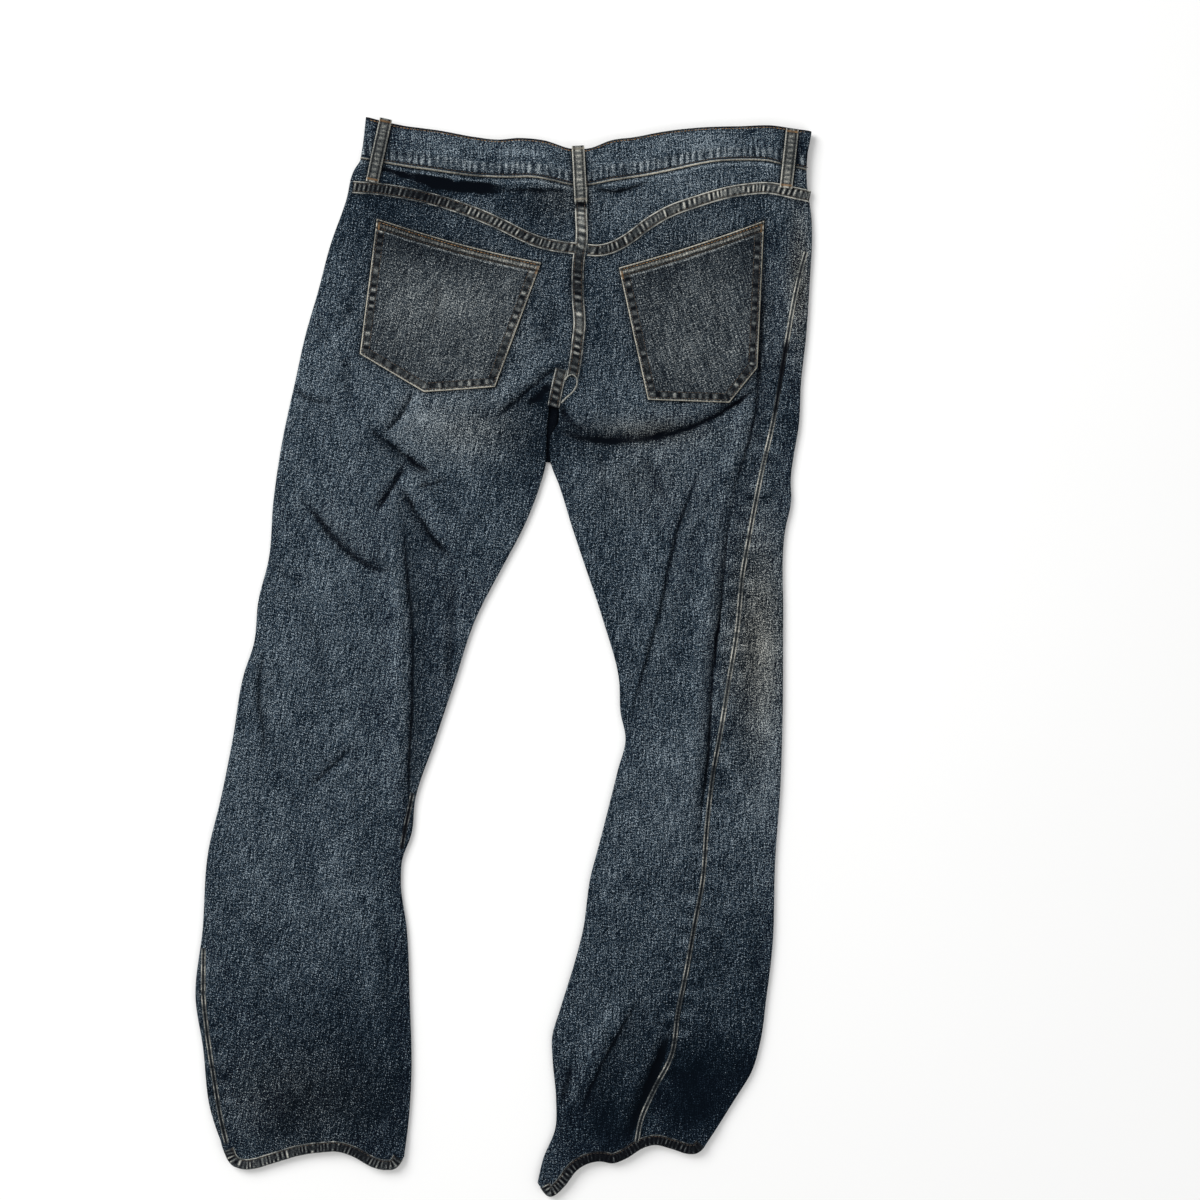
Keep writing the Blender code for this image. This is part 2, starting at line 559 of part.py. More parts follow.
def front_panel(side, denim):
    """It lies beneath. Where the leg is turned, it comes round the outer edge to the outseam."""
    leg = Leg(side, *front_downs(side))
    mouth, fly = front_cuts(leg)
    rows = np.arange(len(mouth))
    on_top = to_girth(np.maximum(leg.outseam - half_gap(leg.outseam), 0))
    start = np.where(rows < MOUTH_ROW, -to_girth(mouth + SEAM_GAP / 2),
                     np.where(rows == MOUTH_ROW, -to_girth(FACING_TIP + SEAM_GAP), on_top))
    inner = np.where(leg.joined, SEAM_GAP / 2, leg.inseam + half_gap(leg.inseam))
    if side == "left":
        inner = np.where(rows <= FLY_ROW, np.maximum(fly, FACING_TIP + SEAM_GAP) + SEAM_GAP / 2, inner)
    end = -(leg.whole - to_girth(inner))
    girth = leg.columns(start, end, FRONT_COLUMNS, [(0 * leg.whole, 4, 10), (on_top / 2, 30, 1.5), (-leg.whole, 3, 6)])
    lines = (lambda a: front_seam(a) + SEAM_GAP / 2, curve(LEGS[side]["hem"]))
    across, down, beneath = leg.places(girth, lines)
    faces = faces_at(across, down, beneath, wall_rows(len(rows), TURNED_ROWS))
    return cloth(f"front_{side}", *faces, denim)


def upper_front(side, rows):
    """The uppermost rows of a front."""
    outer, inner = front_downs(side)
    whole = Leg(side, outer, inner)
    part = Leg(side, outer[:rows + 1], inner[:rows + 1])
    return part, [cut[:rows + 1] for cut in front_cuts(whole)]


def pocket_facing(side, denim):
    """The cloth that shows in a front pocket's mouth."""
    leg, (mouth, _) = upper_front(side, MOUTH_ROW)
    start = 0 * leg.whole
    end = -to_girth(np.maximum(mouth - SEAM_GAP / 2, FACING_TIP))
    girth = leg.columns(start, end, 8, [(start, 3, 5)])
    across, down, beneath = leg.places(girth, (lambda a: front_seam(a) + SEAM_GAP / 2, None))
    return cloth(f"front_pocket_facing_{side}", *faces_at(across, down, beneath | True, DENIM), denim)


def fly_flap(denim):
    """The stitched flap over the front opening."""
    leg, (_, fly) = upper_front("left", FLY_ROW)
    fly = np.maximum(fly - SEAM_GAP / 2, SEAM_GAP / 2 + FACING_TIP)
    start = -(leg.whole - to_girth(fly))
    end = -(leg.whole - to_girth(SEAM_GAP / 2))
    across, down, beneath = leg.places(leg.columns(start, end, 4, []), (lambda a: front_seam(a) + SEAM_GAP / 2, None))
    return cloth("fly_flap", *faces_at(across, down, beneath, DENIM), denim)


def waistband(denim):
    """One strip round the waist, whose ends meet at the front."""
    shares = [top_shares(side) for side in LEGS]
    top_line, seam_line = curve(WAIST_TOP), curve(WAIST_SEAM)
    places = np.array([0, 0.3, 0.7, 1.0])[:, None]

    def stretch(side, share, first_line, last_line, beneath):
        shape = LEGS[side]
        length = abs(float(shape["outer"](150.0)) - FRONT_MIDDLE) + 2 * BEND_LENGTH
        girth = share * length
        inward = np.where(share < 0.5, from_edge(girth), 0)
        down = 150.0 + 0 * places * share
        for _ in range(3):
            outer = shape["outer"](down)
            inner = seat_seam(down) if not beneath else FRONT_MIDDLE + 0 * down
            width = np.abs(inner - outer)
            whole = width + 2 * BEND_LENGTH
            girth = share * whole
            inward = np.where(share < 0.5, from_edge(girth), width - from_edge(whole - girth))
            across = outer + np.sign(inner - outer) * inward
            down = first_line(across) * (1 - places) + (last_line(across) - SEAM_GAP / 2) * places
        return across, down, np.full(across.shape, beneath)

    under_shares = np.concatenate([to_girth([0.9, 2.4]) / 220, np.linspace(0.04, 1, 8)])
    near_middle = 1 - 0.5 / 220
    pieces = [
        stretch("left", np.minimum(under_shares, near_middle)[::-1], front_top, front_seam, True),
        stretch("left", shares[0], top_line, seam_line, False),
        stretch("right", shares[1][::-1], top_line, seam_line, False),
        stretch("right", np.minimum(under_shares, near_middle), front_top, front_seam, True),
    ]
    across, down, beneath = (np.concatenate(part, axis=1) for part in zip(*pieces))
    return cloth("waistband", *faces_at(across, down, beneath, BAND_WALL), denim)


def cloth_tree(pieces):
    """The faces of the pieces that others lie on."""
    points, faces = [], []
    for piece in pieces:
        faces += [[len(points) + v for v in face.vertices] for face in piece.data.polygons]
        points += [vertex.co.copy() for vertex in piece.data.vertices]
    return BVHTree.FromPolygons(points, faces)


def lying_on(tree, across, down, reach):
    """The rise at which a piece lies clear of the cloth under it."""
    rise = np.zeros(across.shape)
    for spot in np.ndindex(across.shape):
        for a, d in [(i * reach / 2, j * reach / 2) for i in range(-2, 3) for j in range(-2, 3)]:
            above = to_part([across[spot] + a, down[spot] + d, 100.0])
            hit = tree.ray_cast(Vector(above), Vector((0, 0, -1)))[0]
            if hit is not None:
                rise[spot] = max(rise[spot], hit.z / MM)
    return rise + SEAM_GAP


def laid_piece(name, tree, across, down, wall, reach, material):
    rise = lying_on(tree, across, down, reach)
    inside = np.stack([across, down, rise], axis=-1)
    return cloth(name, inside + [0, 0, wall], inside, material)


def back_pocket(side, tree, denim):
    """A five-cornered patch. Its lower edge has the middle corner."""
    top, low = BACK_POCKETS[side]["top"], BACK_POCKETS[side]["low"]
    columns = np.linspace(0, 1, 10)[None, :]
    rows = np.linspace(0, 1, 10)[:, None]
    upper = np.array(top[0]) * (1 - columns[..., None]) + np.array(top[1]) * columns[..., None]
    bow = BACK_POCKETS[side]["bow"] * np.sin(math.pi * columns)
    corner = BACK_POCKETS[side]["corner"]
    marks = np.array([0, corner, 1])
    lower = np.stack([np.interp(columns, marks, [p[i] for p in low]) for i in (0, 1)], axis=-1)
    upper[..., 1] += bow
    at = upper * (1 - rows[..., None]) + lower * rows[..., None]
    return laid_piece(f"back_pocket_{side}", tree, at[..., 0], at[..., 1], POCKET_WALL, 8.0, denim)


def belt_loop(name, first, last, tree, denim):
    first, last = np.array(first, float), np.array(last, float)
    run = (last - first) / np.linalg.norm(last - first)
    beside = np.array([-run[1], run[0]]) * LOOP_WIDTH
    columns = np.linspace(0.5, -0.5, 3)[None, :, None]
    rows = np.linspace(0, 1, 11)[:, None, None]
    at = first * (1 - rows) + last * rows + beside * columns
    return laid_piece(name, tree, at[..., 0], at[..., 1], LOOP_WALL, 4.0, denim)


def front_loop(name, across, denim):
    """A loop of the hidden front, between the waistband and the surface."""
    columns = across + np.array([-0.5, 0.5])[None, :] * LOOP_WIDTH + np.zeros((4, 1))
    first, last = front_top(across) + 3, front_seam(across) + 11
    down = first + (last - first) * np.linspace(0, 1, 4)[:, None] + 0 * columns
    inside = np.stack([columns, down, 0 * down], axis=-1)
    return cloth(name, inside + [0, 0, FRONT_LIFT - SEAM_GAP], inside, denim)


def waist_button(metal):
    """A domed metal button, face down under the front waistband."""
    made = bmesh.new()
    middle_down = (front_top(FRONT_MIDDLE) + front_seam(FRONT_MIDDLE)) / 2
    place = to_part([FRONT_MIDDLE - 12, middle_down, BUTTON_THICK / 2])
    bmesh.ops.create_cone(made, cap_ends=True, segments=24, radius1=BUTTON_RADIUS * MM,
                          radius2=BUTTON_RADIUS * MM, depth=BUTTON_THICK * MM)
    rim = [e for e in made.edges if e.verts[0].co.z < 0 and e.verts[1].co.z < 0 and len(e.link_faces) == 2]
    bmesh.ops.bevel(made, geom=rim, offset=0.6 * MM, segments=2, affect="EDGES")
    bmesh.ops.translate(made, verts=made.verts, vec=place)
    mesh = bpy.data.meshes.new("waist_button")
    made.to_mesh(mesh)
    made.free()
    mesh.materials.append(metal)
    bpy.context.collection.objects.link(bpy.data.objects.new("waist_button", mesh))


def main():
    for old in list(bpy.data.objects):
        bpy.data.objects.remove(old)
    denim = paint("washed_denim", (0.045, 0.065, 0.095), 0.9)
    worn = paint("worn_denim", (0.07, 0.082, 0.1), 0.9)
    metal = paint("aged_copper", (0.28, 0.17, 0.1), 0.35, 1.0)
    beneath = [waistband(denim)]
    for side in LEGS:
        beneath += [back_panel(side, denim), yoke(side, denim)]
        front_panel(side, denim)
        pocket_facing(side, denim)
    fly_flap(denim)
    tree = cloth_tree(beneath)
    for side in LEGS:
        back_pocket(side, tree, worn)
    for name, first, last in BACK_LOOPS:
        belt_loop(name, first, last, tree, worn)
    for name, across in FRONT_LOOPS:
        front_loop(name, across, worn)
    waist_button(metal)


main()
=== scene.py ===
import math

import bpy
import numpy as np
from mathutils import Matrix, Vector


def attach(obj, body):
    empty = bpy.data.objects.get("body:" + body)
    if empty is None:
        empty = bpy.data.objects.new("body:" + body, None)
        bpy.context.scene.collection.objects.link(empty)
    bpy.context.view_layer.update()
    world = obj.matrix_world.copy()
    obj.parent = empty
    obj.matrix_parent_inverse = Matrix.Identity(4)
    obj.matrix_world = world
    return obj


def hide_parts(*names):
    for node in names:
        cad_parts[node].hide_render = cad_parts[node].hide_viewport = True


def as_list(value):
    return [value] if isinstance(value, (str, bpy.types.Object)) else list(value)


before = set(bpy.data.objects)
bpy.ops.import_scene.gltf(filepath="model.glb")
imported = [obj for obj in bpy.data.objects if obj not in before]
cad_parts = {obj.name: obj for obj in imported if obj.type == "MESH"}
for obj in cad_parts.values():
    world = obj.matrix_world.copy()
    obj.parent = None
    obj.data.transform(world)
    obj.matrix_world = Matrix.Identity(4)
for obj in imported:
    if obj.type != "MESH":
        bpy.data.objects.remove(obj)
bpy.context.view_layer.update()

# Places are in millimetres on a layout mat: across from its left edge and down from its top edge.
# The frame's origin lies under "middle", and the camera looks at "view".
mat = {"middle": (503.5, 657.0), "view": (600.0, 600.0), "mm": 0.001}


def placed(*parts):
    # points from their parts, which are stretched to one shape
    return np.stack(np.broadcast_arrays(*parts), axis=-1)


def toFrame(points):
    points = np.asarray(points, float)
    across = points[..., 0] - mat["middle"][0]
    down = mat["middle"][1] - points[..., 1]
    return placed(across, down, points[..., 2]) * mat["mm"]


def mixed(first, last, share):
    return first * (1 - share) + last * share


def smooth(f):
    f = np.clip(f, 0, 1)
    return f * f * (3 - 2 * f)


def peak(distance, width):
    return np.exp(-((distance / width) ** 2))


def curve(rows):
    # a smooth line through a table's rows, from its first column to its second
    at, value = np.array(rows, float).T
    slope = np.gradient(value, at)

    def line(where):
        where = np.clip(np.asarray(where, float), at[0], at[-1])
        i = np.clip(np.searchsorted(at, where) - 1, 0, len(at) - 2)
        span = at[i + 1] - at[i]
        f = (where - at[i]) / span
        bend = f * (1 - f) * span * mixed(slope[i], -slope[i + 1], f)
        return mixed(value[i], value[i + 1], smooth(f)) + bend

    return line


def travelled(points):
    # how far along a line each of its points lies
    return np.concatenate([[0], np.cumsum(np.linalg.norm(np.diff(points, axis=0), axis=1))])


def heading(first, last):
    # the direction from one place on the mat to another, and the direction square to it
    way = np.subtract(last, first)
    run = way / np.linalg.norm(way)
    return run, np.array([-run[1], run[0]])


def through(points, step):
    # a smooth route through points, with a place every step millimetres
    points = np.array(points, float)
    length = travelled(points)
    places = np.linspace(0, length[-1], max(int(length[-1] / step), 2) + 1)
    return placed(*(curve(np.c_[length, points[:, i]])(places) for i in (0, 1)))


def fromRoute(route, across, down, reach):
    # signed distance to a route, and the share of it that is nearest, for the places within reach
    signed, share = np.full(across.shape, 1e3), np.zeros(across.shape)
    low, high = route.min(axis=0) - reach, route.max(axis=0) + reach
    near = (across > low[0]) & (across < high[0]) & (down > low[1]) & (down < high[1])
    x, y = across[near], down[near]
    best, side, where = np.full(x.shape, 1e3), np.ones(x.shape), np.zeros(x.shape)
    for i, (a, b) in enumerate(zip(route[:-1], route[1:])):
        run = b - a
        px, py = x - a[0], y - a[1]
        f = np.clip((px * run[0] + py * run[1]) / (run @ run), 0, 1)
        distance = np.hypot(px - f * run[0], py - f * run[1])
        nearer = distance < best
        best = np.where(nearer, distance, best)
        side = np.where(nearer, np.where(run[0] * py - run[1] * px >= 0, 1.0, -1.0), side)
        where = np.where(nearer, (i + f) / (len(route) - 1), where)
    signed[near], share[near] = best * side, where
    return signed, share


def softNoise(x, y, size, seed):
    # gentle random relief from -1 to 1, in lumps about size across
    cells = 64
    lattice = np.random.default_rng(seed).uniform(-1, 1, (cells, cells))
    x, y = np.asarray(x, float) / size, np.asarray(y, float) / size
    i, j = np.floor(x).astype(int), np.floor(y).astype(int)
    fx, fy = smooth(x - i), smooth(y - j)
    i, j, nextI, nextJ = i % cells, j % cells, (i + 1) % cells, (j + 1) % cells
    near = mixed(lattice[i, j], lattice[nextI, j], fx)
    far = mixed(lattice[i, nextJ], lattice[nextI, nextJ], fx)
    return mixed(near, far, fy)


def waves(along, spacing, wander, size, seed, shift=0.0):
    # a wave from -1 to 1 along a seam. Its spacing wanders
    return np.sin(2 * math.pi * (along / spacing + shift) + wander * softNoise(along, 0, size, seed))


# Edges that run down: how far down, how far across
outerLeft = curve([
    (117, 366), (150, 362), (158, 360.5), (170, 354), (200, 346), (245, 330), (290, 318), (335, 305),
    (380, 295), (440, 282), (500, 273), (560, 268), (600, 258), (645, 253), (672, 244), (740, 232),
    (800, 220), (850, 208), (930, 202), (1000, 195), (1045, 202), (1115, 211), (1144, 221)])
outerRight = curve([
    (117, 812), (132, 811.5), (155, 807.5), (185, 807), (215, 811.5), (290, 809.5), (335, 806.5),
    (380, 801.5), (430, 798.5), (455, 794), (480, 791), (500, 791.5), (530, 785.5), (620, 783.5),
    (710, 783), (790, 780.5), (860, 775.5), (950, 772.5), (1000, 766.5), (1045, 760), (1072, 752),
    (1100, 735), (1130, 716), (1145, 706)])
seatSeam = curve([
    (117, 586), (240, 587), (256, 585), (283, 583), (306, 584), (326, 585.5), (349, 583), (366, 580),
    (375, 574), (384, 563), (396, 559), (406, 554)])
innerLeft = curve([
    (406, 549), (430, 547), (450, 546.5), (463, 545.8), (485, 540), (530, 522), (560, 506), (620, 475),
    (680, 455), (740, 435), (800, 415), (835, 411), (860, 402), (880, 400.5), (930, 406.5), (1000, 409.5),
    (1080, 411), (1125, 408), (1157, 404)])
innerRight = curve([
    (406, 559), (424, 557.5), (434, 551.5), (450, 549.5), (463, 550.8), (485, 559), (530, 573), (560, 583),
    (620, 603), (680, 619), (712, 620.5), (740, 625.5), (770, 618), (845, 599), (875, 591), (935, 582),
    (965, 574), (1010, 560), (1038, 552), (1060, 552.5), (1100, 556), (1130, 555), (1160, 543),
    (1183, 537.5)])
# Edges and seams that run across: how far across, how far down
waistTop = curve([
    (366, 117.5), (395, 125), (440, 131.5), (476, 138), (497, 140.5), (520, 139), (545, 141.5),
    (571, 149.5), (588, 149.5), (612, 141), (634, 138), (663, 132.5), (698, 128.5), (740, 127),
    (772, 126.5), (790, 129), (812, 132)])
waistSeam = curve([
    (350, 157), (383, 163.5), (406, 167.5), (440, 172.5), (473, 177), (506, 178.5), (534, 178.5),
    (554, 182), (572, 186), (588, 186), (612, 181.5), (646, 176.5), (680, 169.5), (698, 165.5),
    (715, 162.5), (741, 161), (767, 162), (784, 166), (812, 172)])
yokeLeft = curve([
    (350, 181), (380, 183.5), (406, 188), (440, 196), (473, 207), (506, 221), (522, 229), (539, 236),
    (556, 240), (587, 244)])
yokeRight = curve([
    (587, 244), (600, 244.5), (612, 241.5), (629, 232.5), (646, 219.5), (663, 209), (698, 195.5),
    (732, 186), (749, 183.5), (767, 182.5), (792, 187), (812, 191)])
hemLeft = curve([
    (221, 1144), (228, 1160), (241, 1168.5), (254, 1168.5), (270, 1164), (300, 1155), (320, 1152),
    (340, 1151.5), (355, 1157), (371, 1166), (386, 1169.5), (397, 1167), (404, 1157)])
hemRight = curve([
    (537.5, 1183), (548, 1196), (563, 1187.5), (576, 1170.5), (587, 1163.5), (600, 1161), (613, 1163),
    (628, 1157), (641, 1148.5), (654, 1144.5), (672, 1148.5), (689, 1153.5), (698, 1152.5), (706, 1145)])
# Seams that lie in from an edge, where a leg is turned: how far down, how far in
outseamLeftIn = curve([(150, 0), (930, 0), (980, 4), (1026, 7.5), (1060, 9), (1120, 11), (1146, 9)])
outseamRightIn = curve([
    (150, 0), (262, 0), (272, 0.6), (300, 12), (331, 16), (380, 20.5), (430, 27.5), (466, 30), (514, 35),
    (571, 41.5), (631, 47.5), (703, 59), (774, 68), (825, 71.5), (882, 73.5), (925, 80), (968, 83.5),
    (1012, 87), (1055, 85.5), (1090, 88), (1120, 81), (1145, 69)])
inseamRightIn = curve([(150, 0), (430, 0), (560, 20), (740, 58), (900, 66), (1150, 60), (1183, 60)])
noInseamIn = curve([(150, 0), (1200, 0)])

cloth = {
    "denim": 1.3,
    "bandWall": 2.5,
    "hemWall": 2.6,
    "bend": 2.6,              # how tightly the cloth turns at the garment's edges
    "thickBend": 3.5,         # the same at the waistband and the hems
    "thick": 5.8,             # two layers that lie on each other
    "bandThick": 7.2,
    "hemThick": 7.4,
    "bandFade": 28.0,         # how soon the waistband's thickness ends below it
    "hemFade": 14.0,
    "frontLift": 2.6,         # the front waistband lies on its button and loops
    "frontDip": 26.0,         # how much lower the front waist lies than the back's
    "frontMiddle": 587.0,
    "edgeSwell": 26.0,        # how far in from an edge the layers are fully thick
    "hemDepth": 13.0,
    "crotch": 406.0,
    "parting": (396.0, 26.0),     # where the legs begin to part, and over how long
    "gap": 0.3,
    "creaseEnd": 8.0,         # creases fade out this near to an edge
    "creaseWearAndShade": 0.11,       # how much paler high places are worn, and how much darker hollows are painted as shade
}
bendLength = (math.pi / 2 - 1) * cloth["bend"]     # what a turned edge adds to the girth

# Creases and folds. The plus side is below one that runs right, and left of one that runs down.
# "dark" is how dark the painted shade in its bottom is, and the soft reaches are how far that painted shadow
# fades out.
creases = [
    # route, depth, width, lift plus, lift minus, reach, dark, soft reach plus, soft reach minus
    ([(552, 424), (566, 432), (585, 438.5), (610, 441), (640, 440), (665, 434), (690, 427)],
     3.0, 4.4, 0.8, 4.0, 17, 1.0, 3, 17),
    ([(625, 441), (650, 438.5), (676, 432), (700, 424), (724, 411), (744, 398), (766, 380)],
     3.0, 2.6, 1.0, 3.4, 15, 1.0, 3, 6),
    ([(386, 169), (400, 174), (418, 178), (436, 183), (458, 187), (480, 188.5), (502, 190), (518, 190)],
     4.2, 6.6, 2.6, 0.0, 19, 1.0, 4.5, 0.8),
    ([(366, 164), (382, 168.5), (400, 174), (418, 180), (438, 185)], 1.6, 3.6, 0.8, 0.0, 9, 1.0, 3, 1),
    ([(500, 191), (525, 190), (545, 191), (558, 191), (574, 189)], 2.2, 3.0, 1.0, 0.0, 12, 0.9, 6, 1),
    ([(588, 186), (600, 190), (617, 192), (632, 188), (650, 181)], 2.0, 3.2, 1.2, 0.0, 10, 1.0, 4, 1),
    ([(415, 384), (411, 397), (403, 411), (392, 425), (378, 438)], 2.2, 2.0, 0.8, 1.4, 10, 0.8, 9, 1),
    ([(364, 421), (378, 435), (392, 446), (407, 457), (421, 467), (440, 478)],
     3.4, 2.6, 0.8, 3.0, 12, 1.0, 9, 1),
    ([(409, 458), (401, 472), (390, 490), (374, 516)], 3.0, 2.4, 1.0, 2.2, 12, 0.85, 9, 1),
    ([(415, 488), (430, 484), (447, 478)], 1.4, 2.0, 0.6, 0.8, 8, 0.6, 5, 1),
    ([(394, 480), (409, 501), (423, 524), (438, 544), (458, 558)], 3.0, 2.6, 0.6, 3.0, 13, 0.95, 12, 1),
    ([(399, 488), (404, 520), (406, 563), (411, 612), (412, 700), (409, 765), (408, 815), (404, 858)],
     3.0, 2.0, 4.2, -0.6, 12, 0.9, 1, 11),
    ([(298, 494), (316, 517), (335, 539), (353, 556), (372, 567), (404, 573)],
     2.6, 3.0, 0.8, 3.0, 13, 0.8, 3, 12),
    ([(292, 388), (310, 399), (338, 403)], 1.6, 3.0, 0.9, 1.2, 11, 0.55, 6, 3),
    ([(349, 350), (346, 380), (351, 412)], 1.6, 6.0, 0.8, 0.8, 18, 0.3, 9, 9),
    ([(266, 645), (259, 680), (259, 705), (263, 730), (259, 765)], 1.6, 2.4, 1.0, 0.6, 9, 0.6, 2, 7),
    ([(357, 743), (337, 762), (323, 774), (306, 793)], 1.4, 2.0, 0.8, 1.0, 9, 0.55, 5, 2),
    ([(578, 363), (562, 367), (546, 375), (530, 389), (514, 403), (490, 422)],
     3.0, 2.6, 2.4, 0.8, 12, 0.8, 3, 10),
    ([(552, 380), (543, 392), (534, 401), (524, 404)], 2.6, 4.6, 0.6, 0.4, 9, 1.0, 5, 7),
    ([(559, 400), (564, 413), (574, 425), (590, 434)], 2.0, 3.4, 0.4, 1.0, 10, 0.8, 7, 5),
    ([(708, 450), (692, 491), (678, 529), (669, 567), (661, 606), (651, 643), (636, 699), (626, 734)],
     2.6, 1.7, 0.4, 2.8, 11, 0.75, 1, 7),
    ([(767, 236), (763, 300), (759, 370), (755, 418), (745, 455), (735, 490), (728, 530)],
     1.8, 2.4, 3.0, -0.4, 12, 0.75, 1, 8),
    ([(736, 480), (728, 530), (724, 571), (720, 617), (714, 662), (711, 703), (707.5, 764), (701, 815),
      (696, 870)], 2.6, 1.9, 3.4, -0.4, 12, 0.9, 7, 1),
    ([(642, 992), (624, 1025), (607, 1055), (592, 1086), (577, 1124)], 2.4, 2.4, 2.4, 1.4, 15, 0.9, 1, 16),
    ([(673, 1022), (661, 1056), (649, 1086), (638, 1112), (627, 1146)], 2.6, 5.6, 3.6, 0.8, 14, 1.0, 6, 2),
    ([(574, 1060), (567, 1085), (561, 1108)], 1.4, 3.0, 0.8, 0.8, 9, 0.7, 8, 3),
    ([(789, 334), (784, 356), (778, 382)], 1.6, 3.6, 0.6, 0.6, 10, 0.5, 6, 6),
    ([(640, 452), (655, 475), (664, 502)], 0.9, 5.0, 0.3, 0.5, 12, 0.2, 6, 6),
    ([(596, 446), (604, 470), (606, 500)], 0.8, 6.0, 0.3, 0.5, 13, 0.2, 6, 6),
    ([(450, 560), (452, 600), (450, 650), (446, 700)], 1.2, 4.0, 0.6, 0.7, 10, 0.45, 9, 4),
    ([(300, 600), (318, 640), (322, 690)], 0.8, 6.0, 0.4, 0.4, 14, 0.15, 6, 6),
    ([(352, 300), (345, 330)], 0.8, 5.0, 0.4, 0.4, 10, 0.25, 6, 6),
    ([(270, 560), (285, 575), (306, 582)], 0.8, 4.0, 0.5, 0.4, 9, 0.3, 5, 5),
    ([(560, 300), (548, 330), (530, 352)], 0.9, 6.0, 0.5, 0.5, 12, 0.3, 6, 6),
    ([(742, 600), (752, 640), (754, 700)], 0.6, 6.0, 0.3, 0.4, 12, 0.1, 6, 6),
    ([(250, 900), (262, 960), (262, 1020)], 0.7, 6.0, 0.4, 0.4, 14, 0.15, 6, 6),
    ([(380, 900), (386, 960), (384, 1030)], 0.9, 6.0, 0.5, 0.5, 14, 0.2, 6, 6),
    ([(600, 700), (612, 760), (606, 830)], 0.8, 7.0, 0.5, 0.4, 16, 0.15, 6, 6),
]
# Creases of the hidden side, pressed flat by the surface under them: route, depth, width, dark (how dark
# their painted shade is)
hiddenCreases = [(route, depth, width, 0, 0, 12, dark, 5, 5) for route, depth, width, dark in [
    ([(420, 430), (450, 445), (500, 448), (540, 436)], 0.8, 4.5, 0.5),
    ([(640, 440), (690, 452), (740, 440)], 0.8, 4.5, 0.5),
    ([(330, 520), (360, 540), (400, 545)], 0.7, 4.0, 0.4),
    ([(300, 700), (340, 716), (390, 712)], 0.7, 5.0, 0.3),
    ([(620, 560), (660, 580), (720, 575)], 0.7, 5.0, 0.35),
    ([(640, 720), (690, 738), (740, 730)], 0.7, 5.0, 0.3),
    ([(240, 1010), (290, 1030), (360, 1022)], 0.6, 5.0, 0.3),
    ([(600, 1030), (650, 1046), (700, 1036)], 0.6, 5.0, 0.3),
    ([(470, 330), (500, 360), (520, 392)], 0.6, 5.0, 0.3),
    ([(650, 330), (630, 362), (600, 390)], 0.6, 5.0, 0.3),
]]
# Soft swells: across, down, half width, half length, rise
swells = [
    (450, 300, 60, 60, 1.4), (690, 310, 50, 60, 1.4), (470, 430, 40, 28, 1.2), (640, 405, 50, 22, 1.6),
    (330, 470, 30, 50, 1.2), (610, 500, 32, 50, 1.0), (345, 650, 40, 70, 1.6), (660, 800, 30, 70, 1.2),
    (300, 900, 50, 70, 1.0), (640, 960, 30, 50, 1.2), (335, 1130, 34, 34, 1.6), (588, 1140, 14, 30, 1.2),
    (664, 1120, 22, 34, 1.4), (760, 650, 14, 80, 1.0), (520, 160, 24, 20, 0.8), (700, 150, 30, 20, 0.8),
]
# The cloth's own unevenness: lump size, height, seed
unevenness = [(34.0, 0.8, 3), (13.0, 0.34, 4), (5.5, 0.12, 5)]


creaseLook = {
    "step": 5.0,              # between places along a crease's route
    "ragged": (1.0, 0.6),     # how far its edges wander, in large and in small lumps
    "ends": 0.3,              # the share of it over which it fades out at each end
    "uneven": 0.35,           # how much its depth and width vary along it
    "core": 0.7,              # how wide the dark core of its painted shade is, as a share of its width
    "soft": 0.62,             # how dark the soft shadow is where it meets the core
}


def creased(table, across, down):
    # (rise, painted shade) that a table of creases adds to a face
    look, ends = creaseLook, creaseLook["ends"]
    rise, shade = np.zeros(across.shape), np.zeros(across.shape)
    large, small = look["ragged"]
    ragged = large * softNoise(across, down, 7.5, 15) + small * softNoise(across, down, 3.2, 16)
    for i, (points, depth, width, liftPlus, liftMinus, reach, dark, softPlus, softMinus) in enumerate(table):
        distance, share = fromRoute(through(points, look["step"]), across, down, reach * 3)
        distance = distance + ragged * min(width / 3.5, 1.05)
        fade = smooth((share + 0.02) / ends) * smooth((1.02 - share) / ends)
        uneven = 1 + look["uneven"] * softNoise(share * 90, 7 * i, 12.0, 17)
        far = (distance / reach) ** 2
        lift = np.where(distance > 0, liftPlus, liftMinus) * far * np.exp(1 - far)
        rise += fade * (lift - depth * uneven * peak(distance, width))
        # painted shade: a dark core, narrower at its ends, and a soft painted shadow beside it
        half = look["core"] * width * uneven * (0.25 + 0.75 * fade)
        core = smooth((half - np.abs(distance)) / np.minimum(half, 2.0) + 0.5)
        fades = np.where(distance > 0, softPlus, softMinus).clip(0.4)
        soft = look["soft"] * np.exp(-np.abs(distance) / fades)
        shade = np.maximum(shade, fade**0.7 * dark * np.maximum(core * (0.6 + 0.4 * uneven), soft))
    return rise, np.clip(shade, 0, 1)


def patches(table, across, down):
    # soft patches: across, down, half width, half length, how much
    total = np.zeros(np.shape(across))
    for atAcross, atDown, halfWidth, halfLength, amount in table:
        total += amount * peak(across - atAcross, halfWidth) * peak(down - atDown, halfLength)
    return total


def frontLine(across, left, drop, high):
    # the front waist hangs lower than the back's
    f = np.clip((np.asarray(across, float) - left) / (812 - left), 0, 1)
    return high + drop * f + cloth["frontDip"] * np.sin(math.pi * f)


def frontSeam(across):
    return frontLine(across, 350, 15.0, 156)


def frontTop(across):
    return frontLine(across, 366, 14.5, 117.5)


def innerOf(legLine, down):
    return np.where(down < cloth["crotch"], seatSeam(down), legLine(down))


